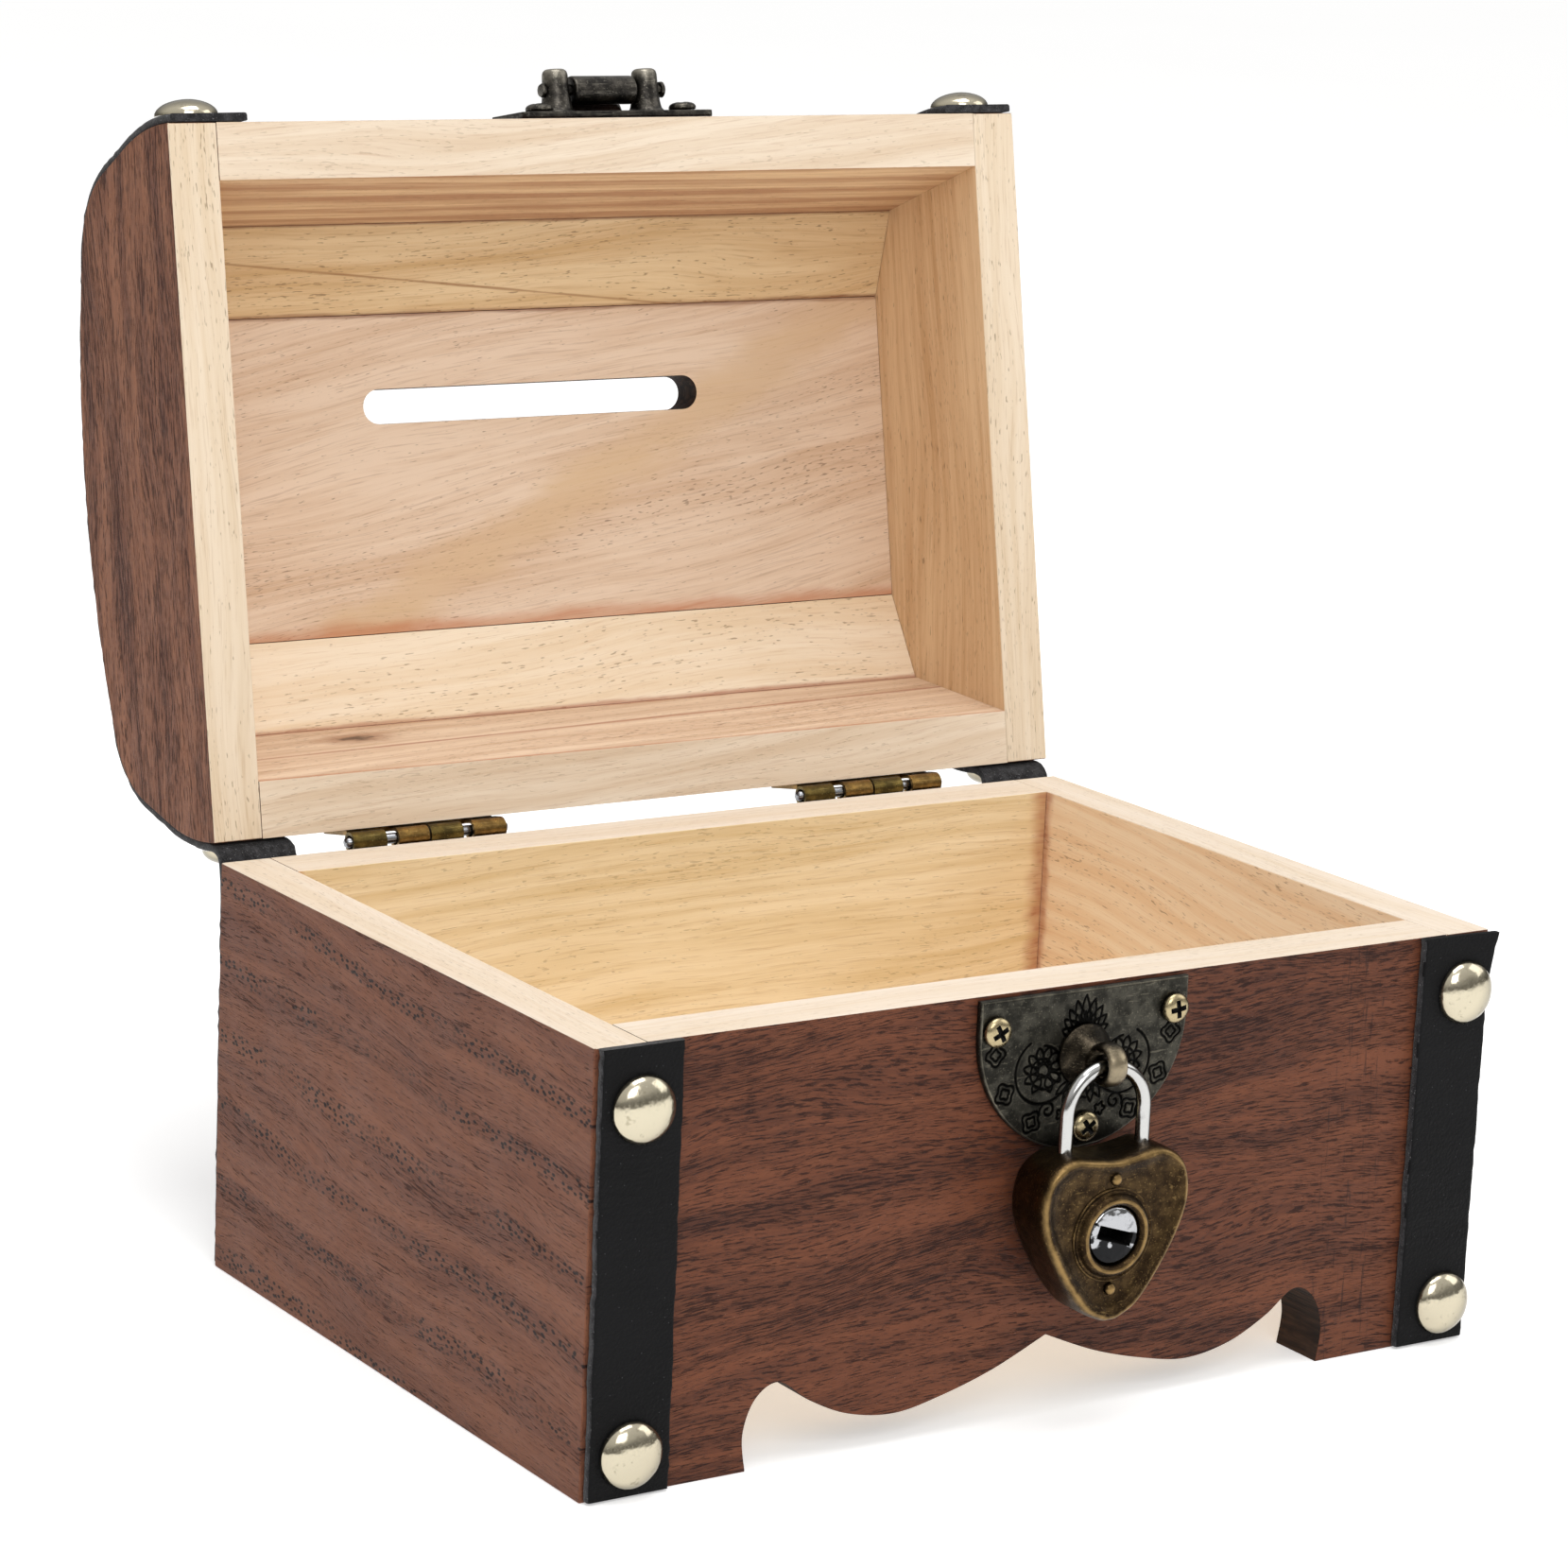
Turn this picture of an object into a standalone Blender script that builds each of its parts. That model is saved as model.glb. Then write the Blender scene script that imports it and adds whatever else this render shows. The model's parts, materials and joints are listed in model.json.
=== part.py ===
"""Wooden money box: a barrel-lidded chest with a coin slot, leather straps, a hasp and a heart padlock.

Metres, +Z up. The front faces -Y. The lid stands open on its two butt hinges, the hasp leaf lies back
on the lid, and the padlock hangs in the staple. Base pieces are modelled round the middle of the base's
footprint, lid pieces round the hinge axis with the lid shut, and the hasp leaf and the padlock round
their own axes. Empties hold each of those frames.
"""

import math

import bmesh
import bpy
from mathutils import Matrix, Vector

# Fits
GAP = 0.0002  # between pieces that touch
RUNNING = 0.00015  # round a pin that turns
HOLE_CLEARANCE = 0.0003  # round a nail, a screw or a shackle leg

# Base
BASE_WIDTH = 0.1500
BASE_DEPTH = 0.1066
BASE_HEIGHT = 0.0617
SIDE_PANEL = 0.0079
FRONT_PANEL = 0.0090
FLOOR_BOARD = 0.0040
FLOOR_UNDERSIDE = 0.0135
WOOD_EASE = 0.0005

# Sawn apron along the bottom of the front panel
APRON_X = -0.0006
FOOT_INNER = 0.0487
FOOT_WAIST = 0.0006
ARCH_X = 0.0438
ARCH_RISE = 0.0118
VALLEY_X = 0.0250
VALLEY_RISE = 0.0043
VALLEY_HALF = 0.0075
VALLEY_LIFT = 0.0012
PEAK_RISE = 0.0117

# Lid
LID_HEIGHT = 0.0368
LID_FRONT_STEP = 0.0020  # how far the lid's front stands back from the base's
LID_WALL_RISE = 0.0090
LID_SHOULDER_INSET = 0.0080
LID_SHOULDER_DROP = 0.0068  # below the crown
LID_WALL_RADIUS = 0.014
LID_SHOULDER_RADIUS = 0.0085
LID_END_PANEL = 0.0078
LID_RAIL = 0.0084
LID_SLOPE_INSET = 0.0137
LID_SLOPE_DROP = 0.0118
LID_CEILING_INSET = 0.0275
LID_CEILING_DROP = 0.0062
RIM_GAP = 0.0005
LID_OPEN_DEG = 100.5

# Coin slot in the crown plank
SLOT_LENGTH = 0.0610
SLOT_WIDTH = 0.0054
SLOT_X = 0.0006
SLOT_FORWARD = 0.0105

# Butt hinges
HINGE_INSET = 0.0350  # from the side to the middle of the hinge
HINGE_CLEARANCE = 0.0003  # between the knuckles and the back of the box
HINGE_LENGTH = 0.0268
LEAF_THICKNESS = 0.0008
LEAF_DROP = 0.0100
LEAF_INSET = 0.0010  # each end of the leaf stands this far in from the hinge's length
KNUCKLE_RADIUS = 0.0016
HINGE_PIN_RADIUS = 0.0008
KNUCKLE_SPANS = ((0.0004, 0.0056), (0.0080, 0.0052), (0.0135, 0.0055), (0.0208, 0.0056))
HINGE_NAIL_X = 0.0075
HINGE_NAIL_DROP = 0.0062
HINGE_NAIL_HEAD = 0.0016

# Leather straps and their nails
STRAP_WIDTH = 0.0124
STRAP_THICKNESS = 0.0012
STRAP_INSET = 0.0005
STRAP_FOOT = 0.0004
NAIL_RADIUS = 0.0047
NAIL_HEIGHT = 0.0024
NAIL_SHANK = 0.0006
NAIL_LENGTH = 0.0080
NAIL_TOP_DROP = 0.0085
NAIL_FOOT_RISE = 0.0062
NAIL_LID_RISE = 0.0075
NAIL_OFF_CENTRE = {"left": 0.0000, "right": 0.0016}

# Lock plate, staple and their screws
HARDWARE_X = 0.0022
PLATE_WIDTH = 0.0350
PLATE_HEIGHT = 0.0225
PLATE_SHOULDER = 0.0050
PLATE_THICKNESS = 0.0010
PLATE_DROP = 0.0005
SCREW_RADIUS = 0.00215
SCREW_HEIGHT = 0.0012
SCREW_SHANK = 0.0008
SCREW_LENGTH = 0.0065
CROSS_LENGTH = 0.0028
CROSS_WIDTH = 0.0007
CROSS_DEPTH = 0.0007
PLATE_SCREW_X = 0.0150
PLATE_SCREW_DROP = 0.0043
PLATE_LOW_SCREW_RISE = 0.0031
PLATE_LOW_SCREW_X = 0.0006
STAPLE_DROP = 0.0097
STAPLE_BASE_RADIUS = 0.0044
STAPLE_NECK_RADIUS = 0.0021
STAPLE_NECK_RISE = 0.0042
STAPLE_EYE_RISE = 0.0054
STAPLE_EYE_RADIUS = 0.0030
STAPLE_EYE_THICKNESS = 0.0032
STAPLE_HOLE_RADIUS = 0.0017
STAPLE_SHANK_RADIUS = 0.0014
STAPLE_SHANK_LENGTH = 0.0050

# Hasp
HASP_WIDTH = 0.0340
HASP_PLATE_THICKNESS = 0.0010
HASP_PLATE_LOW = 0.0012
HASP_PLATE_HIGH = 0.0122
HASP_PIN_RISE = 0.0070
HASP_PIN_HEIGHT = 0.0036
HASP_POST_X = 0.0080
HASP_POST_RADIUS = 0.0024
HASP_POST_TOP_RADIUS = 0.0019
HASP_POST_HEIGHT = 0.0069
HASP_PIN_RADIUS = 0.0008
HASP_PIN_HEAD = 0.0012
HASP_BARREL_RADIUS = 0.0022
HASP_BARREL_LENGTH = 0.0110
HASP_LEAF_THICKNESS = 0.0012
HASP_LEAF_NECK = 0.0100
HASP_NECK_LENGTH = 0.0040
HASP_EYE_RADIUS = 0.0051
HASP_EYE_RIM = 0.0017
HASP_SCREW_X = 0.0128
HASP_SCREW_RISE = 0.0040
HASP_FOLDED_DEG = 210.4

# Padlock
LOCK_WIDTH = 0.0250
LOCK_HEIGHT = 0.0240
LOCK_THICKNESS = 0.0080
LOCK_ROLL = 0.0020
LOCK_FIELD_DEPTH = 0.0009
SHACKLE_RADIUS = 0.0010
SHACKLE_SPAN = 0.0130
SHACKLE_RISE = 0.0113
SHACKLE_LONG_LEG = 0.0120
SHACKLE_SHORT_LEG = 0.0045
SHACKLE_HANG = 0.0002
COLLAR_RADIUS = 0.0066
COLLAR_ROLL = 0.0012
COLLAR_LIP = 0.0001
PLUG_RADIUS = 0.0041
PLUG_DEPTH = 0.0056
PLUG_PROUD = 0.0002
KEYWAY_LENGTH = 0.0062
KEYWAY_WIDTH = 0.0020
KEYWAY_DEPTH = 0.0042
KEYWAY_TILT_DEG = 18.0
RIVET_RADIUS = 0.0009
RIVET_UP = 0.0079
RIVET_DOWN = 0.0077

# The origin is the middle of the whole object's footprint. The base stands this far forward of it.
BASE_CENTRE_Y = -0.0203

# Values that follow from the ones above
HINGE_SETBACK = KNUCKLE_RADIUS + HINGE_CLEARANCE

BASE_FRONT = -BASE_DEPTH / 2
BASE_BACK = BASE_DEPTH / 2
HINGE_AXIS = Vector((0, BASE_BACK + HINGE_SETBACK, BASE_HEIGHT + RIM_GAP))
HINGE_X = BASE_WIDTH / 2 - HINGE_INSET
LID_DEPTH = BASE_DEPTH - LID_FRONT_STEP
LID_SHOULDER_RISE = LID_HEIGHT - LID_SHOULDER_DROP
LID_SLOPE_RISE = LID_HEIGHT - LID_SLOPE_DROP
LID_CEILING_RISE = LID_HEIGHT - LID_CEILING_DROP
LID_BACK = -HINGE_SETBACK
LID_FRONT = LID_BACK - LID_DEPTH
LID_MIDDLE = (LID_FRONT + LID_BACK) / 2
INSIDE_HALF = BASE_WIDTH / 2 - SIDE_PANEL
NAIL_TOP_Z = BASE_HEIGHT - NAIL_TOP_DROP
STAPLE_Z = BASE_HEIGHT - STAPLE_DROP

# From the hasp pin back to the lock plate's face, with the lid shut
PIN_TO_PLATE = HASP_PIN_HEIGHT + HASP_PLATE_THICKNESS - PLATE_THICKNESS - LID_FRONT_STEP

TO_FRONT = Matrix.Rotation(math.radians(90), 4, "X")  # turns +Z to -Y
TO_BACK = Matrix.Rotation(math.radians(-90), 4, "X")  # turns +Z to +Y
TO_SIDE = Matrix.Rotation(math.radians(90), 4, "Y")  # turns +Z to +X

holes = {}


# Helpers
def clear_scene():
    for obj in list(bpy.data.objects):
        bpy.data.objects.remove(obj, do_unlink=True)


def make_material(name, colour, roughness, metallic=0.0):
    material = bpy.data.materials.new(name)
    material.use_nodes = True
    shader = material.node_tree.nodes["Principled BSDF"]
    shader.inputs["Base Color"].default_value = (*colour, 1.0)
    shader.inputs["Roughness"].default_value = roughness
    shader.inputs["Metallic"].default_value = metallic
    material.diffuse_color = (*colour, 1.0)
    return material


def make_empty(name, parent=None, location=(0, 0, 0), x_degrees=0.0):
    empty = bpy.data.objects.new(name, None)
    empty.empty_display_size = 0.01
    empty.location = location
    empty.rotation_euler.x = math.radians(x_degrees)
    empty.parent = parent
    bpy.context.scene.collection.objects.link(empty)
    return empty


def add_piece(name, shape, material, parent, sharp_deg=35.0):
    """Turns a bmesh into an object, smooth but for its sharp edges."""
    bmesh.ops.recalc_face_normals(shape, faces=shape.faces)
    mesh = bpy.data.meshes.new(name)
    shape.to_mesh(mesh)
    shape.free()
    if material:
        mesh.materials.append(material)
    mesh.shade_smooth()
    mesh.set_sharp_from_angle(angle=math.radians(sharp_deg))
    piece = bpy.data.objects.new(name, mesh)
    piece.parent = parent
    bpy.context.scene.collection.objects.link(piece)
    return piece


def add_tool(name, shape, parent):
    """A helper solid for a Boolean, left out of the model."""
    tool = add_piece(name, shape, None, parent)
    tool.hide_render = True
    tool.display_type = "WIRE"
    return tool


def boolean(piece, tool, operation):
    modifier = piece.modifiers.new(operation.lower(), "BOOLEAN")
    modifier.operation = operation
    modifier.object = tool
    modifier.solver = "EXACT"


def ease_edges(piece, width=WOOD_EASE, segments=1):
    modifier = piece.modifiers.new("eased_edges", "BEVEL")
    modifier.width = width
    modifier.segments = segments
    modifier.limit_method = "ANGLE"
    modifier.angle_limit = math.radians(40)


def join_shapes(shapes):
    """One bmesh that holds several separate closed shells."""
    joined = bmesh.new()
    for shape in shapes:
        mesh = bpy.data.meshes.new("shell")
        bmesh.ops.recalc_face_normals(shape, faces=shape.faces)
        shape.to_mesh(mesh)
        shape.free()
        joined.from_mesh(mesh)
        bpy.data.meshes.remove(mesh)
    return joined


def loft(rings):
    """A closed solid through rings of equal length, with a flat cap at each end."""
    shape = bmesh.new()
    made = [[shape.verts.new(point) for point in ring] for ring in rings]
    for low, high in zip(made, made[1:]):
        for i in range(len(low)):
            j = (i + 1) % len(low)
            shape.faces.new((low[i], low[j], high[j], high[i]))
    shape.faces.new(made[0])
    shape.faces.new(made[-1])
    return shape


def prism(outline, axis, start, end):
    """An outline of (x, z) or (y, z) pairs, extruded along Y or X."""
    if axis == "X":
        return loft([[Vector((at, a, b)) for a, b in outline] for at in (start, end)])
    return loft([[Vector((a, at, b)) for a, b in outline] for at in (start, end)])


def block(x, y, z):
    """A box between pairs of limits."""
    outline = ((x[0], z[0]), (x[1], z[0]), (x[1], z[1]), (x[0], z[1]))
    return prism(outline, "Y", y[0], y[1])


def turned(profile, segments, place=Matrix.Identity(4)):
    """A solid turned about Z. The profile of (radius, z) pairs starts and ends on the axis."""
    shape = bmesh.new()
    rings = []
    for radius, z in profile:
        if radius == 0:
            rings.append([shape.verts.new((0, 0, z))])
            continue
        angles = [2 * math.pi * i / segments for i in range(segments)]
        rings.append([shape.verts.new((radius * math.cos(a), radius * math.sin(a), z)) for a in angles])
    for low, high in zip(rings, rings[1:]):
        for i in range(segments):
            j = (i + 1) % segments
            corners = [low[i % len(low)], low[j % len(low)], high[j % len(high)], high[i % len(high)]]
            shape.faces.new(list(dict.fromkeys(corners)))
    bmesh.ops.transform(shape, matrix=place, verts=shape.verts)
    return shape


def rod(radius, start, end, segments, place=Matrix.Identity(4)):
    """A cylinder along Z between two heights."""
    return turned(((0, start), (radius, start), (radius, end), (0, end)), segments, place)


def drill(piece, place, radius, depth, above=0.001):
    """Notes a round hole down -Z of a place. cut_holes makes all of a piece's holes at once."""
    holes.setdefault(piece, []).append((place, radius, depth, above))


def cut_holes():
    for piece, drilled in holes.items():
        rods = [rod(radius, -depth, above, 12, place) for place, radius, depth, above in drilled]
        boolean(piece, add_tool(piece.name + "_holes", join_shapes(rods), piece.parent), "DIFFERENCE")
    holes.clear()


def rounded(corners, steps):
    """An open path of (a, b, radius) corners, with an arc at each corner that has a radius."""
    path = []
    for i, (a, b, radius) in enumerate(corners):
        here = Vector((a, b))
        if radius == 0 or i in (0, len(corners) - 1):
            path.append(here)
            continue
        back = (Vector(corners[i - 1][:2]) - here).normalized()
        on = (Vector(corners[i + 1][:2]) - here).normalized()
        half = back.angle(on) / 2
        centre = here + (back + on).normalized() * (radius / math.sin(half))
        start = here + back * (radius / math.tan(half)) - centre
        sweep = start.angle_signed(here + on * (radius / math.tan(half)) - centre)
        for step in range(steps + 1):
            path.append(centre + Matrix.Rotation(-sweep * step / steps, 2) @ start)
    return path


def offset(path, distance, closed=False):
    """The path moved to its left by a distance."""
    moved = []
    count = len(path)
    for i, here in enumerate(path):
        before = path[i - 1] if closed or i else None
        after = path[(i + 1) % count] if closed or i < count - 1 else None
        normals = []
        for start, end in ((before, here), (here, after)):
            if start is not None and end is not None:
                along = (end - start).normalized()
                normals.append(Vector((-along.y, along.x)))
        normal = sum(normals, Vector((0, 0))).normalized()
        moved.append(here + normal * (distance / normal.dot(normals[0])))
    return moved


def smooth_curve(points, steps, closed=False):
    """A Catmull-Rom curve through the points."""
    count = len(points)
    curve = []
    for i in range(count if closed else count - 1):
        if closed:
            p = [Vector(points[(i + k) % count]) for k in (-1, 0, 1, 2)]
        else:
            p = [Vector(points[min(max(i + k, 0), count - 1)]) for k in (-1, 0, 1, 2)]
        for step in range(steps):
            t = step / steps
            bend = 2 * p[0] - 5 * p[1] + 4 * p[2] - p[3]
            twist = 3 * p[1] - p[0] - 3 * p[2] + p[3]
            curve.append((2 * p[1] + (p[2] - p[0]) * t + bend * t * t + twist * t**3) / 2)
    if not closed:
        curve.append(Vector(points[-1]))
    return curve


def cut_by_line(outline, through, keep):
    """The part of an outline on the side of a line that the vector keep points to."""
    kept = []
    for i, here in enumerate(outline):
        before = outline[i - 1]
        a = (before - through).dot(keep)
        b = (here - through).dot(keep)
        if a * b < 0:
            kept.append(before.lerp(here, a / (a - b)))
        if b >= 0:
            kept.append(here)
    return kept


# Fasteners, modelled with the head on +Z and the shank down -Z
def dome_head(radius, height, rings):
    """The profile of a domed head, from its underside's edge to its crown."""
    angles = [math.pi / 2 * i / rings for i in range(rings + 1)]
    return [(radius * math.cos(a), height * math.sin(a)) for a in angles[:-1]] + [(0, height)]


def add_nail(name, place, radius, height, shank, length, material, parent, segments=16, rings=4):
    profile = [(0, -length), (shank, -length + 2 * shank), (shank, 0)] + dome_head(radius, height, rings)
    nail = add_piece(name, turned(profile, segments), material, parent)
    nail.matrix_local = place
    return nail


def add_cross_screw(name, place, material, parent, turn_deg):
    """A pan-head screw with a cross recess."""
    profile = [(0, -SCREW_LENGTH), (SCREW_SHANK, -SCREW_LENGTH + 2 * SCREW_SHANK), (SCREW_SHANK, 0)]
    profile += [(0.88 * SCREW_RADIUS, 0), (SCREW_RADIUS, 0.35 * SCREW_HEIGHT)]
    profile += [(0.8 * SCREW_RADIUS, 0.85 * SCREW_HEIGHT)]
    profile += [(0.45 * SCREW_RADIUS, SCREW_HEIGHT), (0, SCREW_HEIGHT)]
    screw = add_piece(name, turned(profile, 16), material, parent)
    long = CROSS_LENGTH / 2
    wide = CROSS_WIDTH / 2
    depth = (SCREW_HEIGHT - CROSS_DEPTH, SCREW_HEIGHT + CROSS_DEPTH)
    arms = ((long, wide), (wide, long))
    for i, (x, y) in enumerate(arms):
        arm = add_tool(f"{name}_recess_{i}", block((-x, x), (-y, y), depth), screw)
        boolean(screw, arm, "DIFFERENCE")
    screw.matrix_local = place @ Matrix.Rotation(math.radians(turn_deg), 4, "Z")
    return screw


# Base
def apron_outline():
    """The front panel's outline: straight above, and sawn to two feet and a central peak below."""
    half = INSIDE_HALF - GAP
    right = [
        (FOOT_INNER, 0),
        (FOOT_INNER + FOOT_WAIST, 0.45 * ARCH_RISE),
        (FOOT_INNER - 2 * FOOT_WAIST, 0.85 * ARCH_RISE),
        (ARCH_X, ARCH_RISE),
        ((ARCH_X + 0.7 * FOOT_INNER) / 2, 0.72 * ARCH_RISE),
        (VALLEY_X + VALLEY_HALF, VALLEY_RISE + VALLEY_LIFT),
        (VALLEY_X, VALLEY_RISE),
        (VALLEY_X - VALLEY_HALF, VALLEY_RISE + VALLEY_LIFT),
        (0.35 * VALLEY_X, (VALLEY_RISE + PEAK_RISE) / 2),
        (0, PEAK_RISE),
    ]
    curve = smooth_curve(right, 3)
    sawn = [(APRON_X + x, z) for x, z in curve] + [(APRON_X - x, z) for x, z in reversed(curve[:-1])]
    return [(-half, 0), (-half, BASE_HEIGHT), (half, BASE_HEIGHT), (half, 0)] + sawn


def make_base(box, wood, pale_wood):
    panels = {}
    for side, sign in (("left", -1), ("right", 1)):
        x = sorted((sign * BASE_WIDTH / 2, sign * INSIDE_HALF))
        shape = block(x, (BASE_FRONT, BASE_BACK), (0, BASE_HEIGHT))
        panels[side] = add_piece(f"base_{side}_panel", shape, wood, box)
        ease_edges(panels[side])
    half = INSIDE_HALF - GAP
    front = prism(apron_outline(), "Y", BASE_FRONT, BASE_FRONT + FRONT_PANEL)
    panels["front"] = add_piece("base_front_panel", front, wood, box)
    ease_edges(panels["front"], WOOD_EASE / 2)
    back = block((-half, half), (BASE_BACK - FRONT_PANEL, BASE_BACK), (0, BASE_HEIGHT))
    panels["back"] = add_piece("base_back_panel", back, wood, box)
    ease_edges(panels["back"], WOOD_EASE / 2)
    depth = BASE_BACK - FRONT_PANEL - GAP
    floor = block((-half, half), (-depth, depth), (FLOOR_UNDERSIDE, FLOOR_UNDERSIDE + FLOOR_BOARD))
    add_piece("base_floor_board", floor, pale_wood, box)
    return panels


# Lid
def barrel_path():
    """The lid's outside as (y, z) points, from the front rim over the crown to the back rim."""
    half = LID_DEPTH / 2
    shoulder = half - LID_SHOULDER_INSET
    sag = LID_HEIGHT - LID_SHOULDER_RISE
    radius = (shoulder**2 + sag**2) / (2 * sag)
    reach = math.asin(shoulder / radius)
    front = [(-half, 0, 0), (-half, LID_WALL_RISE, LID_WALL_RADIUS)]
    front.append((-shoulder, LID_SHOULDER_RISE, LID_SHOULDER_RADIUS))
    count = 12
    angles = [-reach + 2 * reach * i / count for i in range(1, count)]
    crown = [(radius * math.sin(a), LID_HEIGHT - radius * (1 - math.cos(a)), 0) for a in angles]
    back = [(-a, b, radius) for a, b, radius in reversed(front)]
    path = rounded(front + crown + back, 4)
    return [Vector((LID_MIDDLE + p.x, p.y)) for p in path]


def ceiling_path():
    """The lid's faceted inside, from the front rim to the back rim."""
    half = LID_DEPTH / 2
    front = [(LID_RAIL, 0), (LID_SLOPE_INSET, LID_SLOPE_RISE), (LID_CEILING_INSET, LID_CEILING_RISE)]
    path = [(inset - half, rise) for inset, rise in front]
    path += [(half - inset, rise) for inset, rise in reversed(front)]
    return [Vector((LID_MIDDLE + y, z)) for y, z in path]


def lid_seams():
    """A point and a forward-pointing normal for each seam between planks, front to back."""
    inside = ceiling_path()
    seams = []
    for i in (1, 2, 3, 4):
        before = (inside[i] - inside[i - 1]).normalized()
        after = (inside[i + 1] - inside[i]).normalized()
        seams.append((inside[i], -(before + after).normalized()))
    return seams


def make_lid(axis, wood, colours):
    outside = barrel_path()
    ends = {}
    for side, sign in (("left", -1), ("right", 1)):
        x = sorted((sign * BASE_WIDTH / 2, sign * (BASE_WIDTH / 2 - LID_END_PANEL)))
        ends[side] = add_piece(f"lid_{side}_end", prism(outside, "X", *x), wood, axis)
        ease_edges(ends[side])
    shell = outside + list(reversed(ceiling_path()))
    seams = lid_seams()
    half = BASE_WIDTH / 2 - LID_END_PANEL - GAP
    planks = {}
    for i, name in enumerate(("front_rail", "front_slope", "crown_plank", "back_slope", "back_rail")):
        outline = shell
        if i > 0:
            point, forward = seams[i - 1]
            outline = cut_by_line(outline, point - forward * GAP / 2, -forward)
        if i < 4:
            point, forward = seams[i]
            outline = cut_by_line(outline, point + forward * GAP / 2, forward)
        planks[name] = add_piece("lid_" + name, prism(outline, "X", -half, half), colours[i], axis)
    ease_edges(planks["front_rail"], WOOD_EASE / 2)
    ease_edges(planks["back_rail"], WOOD_EASE / 2)
    cut_coin_slot(planks["crown_plank"], axis)
    return ends, planks


def stadium(centre, length, width, steps):
    """A closed slot outline with round ends, its length along the first coordinate."""
    straight = (length - width) / 2
    outline = []
    for side in (1, -1):
        for step in range(steps + 1):
            turn = math.pi * (step / steps - 0.5) + (0 if side == 1 else math.pi)
            round_end = Vector((math.cos(turn), math.sin(turn))) * width / 2
            outline.append(Vector(centre) + Vector((side * straight, 0)) + round_end)
    return outline


def cut_coin_slot(plank, axis):
    slot = stadium((SLOT_X, LID_MIDDLE - SLOT_FORWARD), SLOT_LENGTH, SLOT_WIDTH, 6)
    heights = (LID_CEILING_RISE - SLOT_WIDTH, LID_HEIGHT + SLOT_WIDTH)
    cutter = loft([[Vector((p.x, p.y, z)) for p in slot] for z in heights])
    boolean(plank, add_tool("coin_slot_cutter", cutter, axis), "DIFFERENCE")


# Butt hinges
def add_leaf(name, centre, direction, spans, brass, parent, origin):
    """A leaf that lies on a back face, with its knuckles round the hinge axis."""
    start = -HINGE_LENGTH / 2
    edge = -start - LEAF_INSET
    foot = direction * LEAF_DROP
    root = direction * (KNUCKLE_RADIUS + GAP)
    tip = -direction * GAP
    outline = [(-edge, foot), (-edge, root)]
    for begin, length in spans:
        low = max(start + begin, -edge)
        high = min(start + begin + length, edge)
        outline += [(low, root), (low, tip), (high, tip), (high, root)]
    outline += [(edge, root), (edge, foot)]
    outline = list(dict.fromkeys(outline))
    inner = GAP - HINGE_SETBACK
    leaf = add_piece(name, prism(outline, "Y", inner, inner + LEAF_THICKNESS), brass, parent)
    barrels = [rod(KNUCKLE_RADIUS, start + b, start + b + n, 16, TO_SIDE) for b, n in spans]
    bore = rod(HINGE_PIN_RADIUS + RUNNING, 2 * start, -2 * start, 12, TO_SIDE)
    boolean(leaf, add_tool(name + "_knuckles", join_shapes(barrels), leaf), "UNION")
    boolean(leaf, add_tool(name + "_bore", bore, leaf), "DIFFERENCE")
    leaf.location = Vector((centre, 0, 0)) + origin
    return leaf


def make_hinge(side, centre, metals, box, axis, back_panel, back_rail):
    brass = metals["brass"]
    base_spans = KNUCKLE_SPANS[0::2]
    lid_spans = KNUCKLE_SPANS[1::2]
    base_leaf = add_leaf(f"{side}_hinge_base_leaf", centre, -1, base_spans, brass, box, HINGE_AXIS)
    lid_leaf = add_leaf(f"{side}_hinge_lid_leaf", centre, 1, lid_spans, brass, axis, Vector())
    half = HINGE_LENGTH / 2
    tip = HINGE_PIN_RADIUS / 2
    profile = [(0, -half - tip), (HINGE_PIN_RADIUS, -half), (HINGE_PIN_RADIUS, half), (0, half + tip)]
    pin = add_piece(f"{side}_hinge_pin", turned(profile, 12, TO_SIDE), metals["steel"], box)
    pin.location = Vector((centre, 0, 0)) + HINGE_AXIS
    surface = GAP + LEAF_THICKNESS + GAP
    shank = (NAIL_SHANK, FRONT_PANEL * 0.6)
    fixings = (
        ("base", box, base_leaf, back_panel, BASE_BACK + surface, HINGE_AXIS.z - HINGE_NAIL_DROP),
        ("lid", axis, lid_leaf, back_rail, LID_BACK + surface, HINGE_NAIL_DROP),
    )
    for part, parent, leaf, wood, y, z in fixings:
        for number, sign in ((1, -1), (2, 1)):
            place = Matrix.Translation((centre + sign * HINGE_NAIL_X, y, z)) @ TO_BACK
            name = f"{side}_hinge_{part}_nail_{number}"
            add_nail(name, place, HINGE_NAIL_HEAD, HINGE_NAIL_HEAD / 2, *shank, brass, parent, 10, 2)
            drill(leaf, place, NAIL_SHANK + HOLE_CLEARANCE, surface + GAP)
            drill(wood, place, NAIL_SHANK + HOLE_CLEARANCE, shank[1] + GAP)


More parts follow.
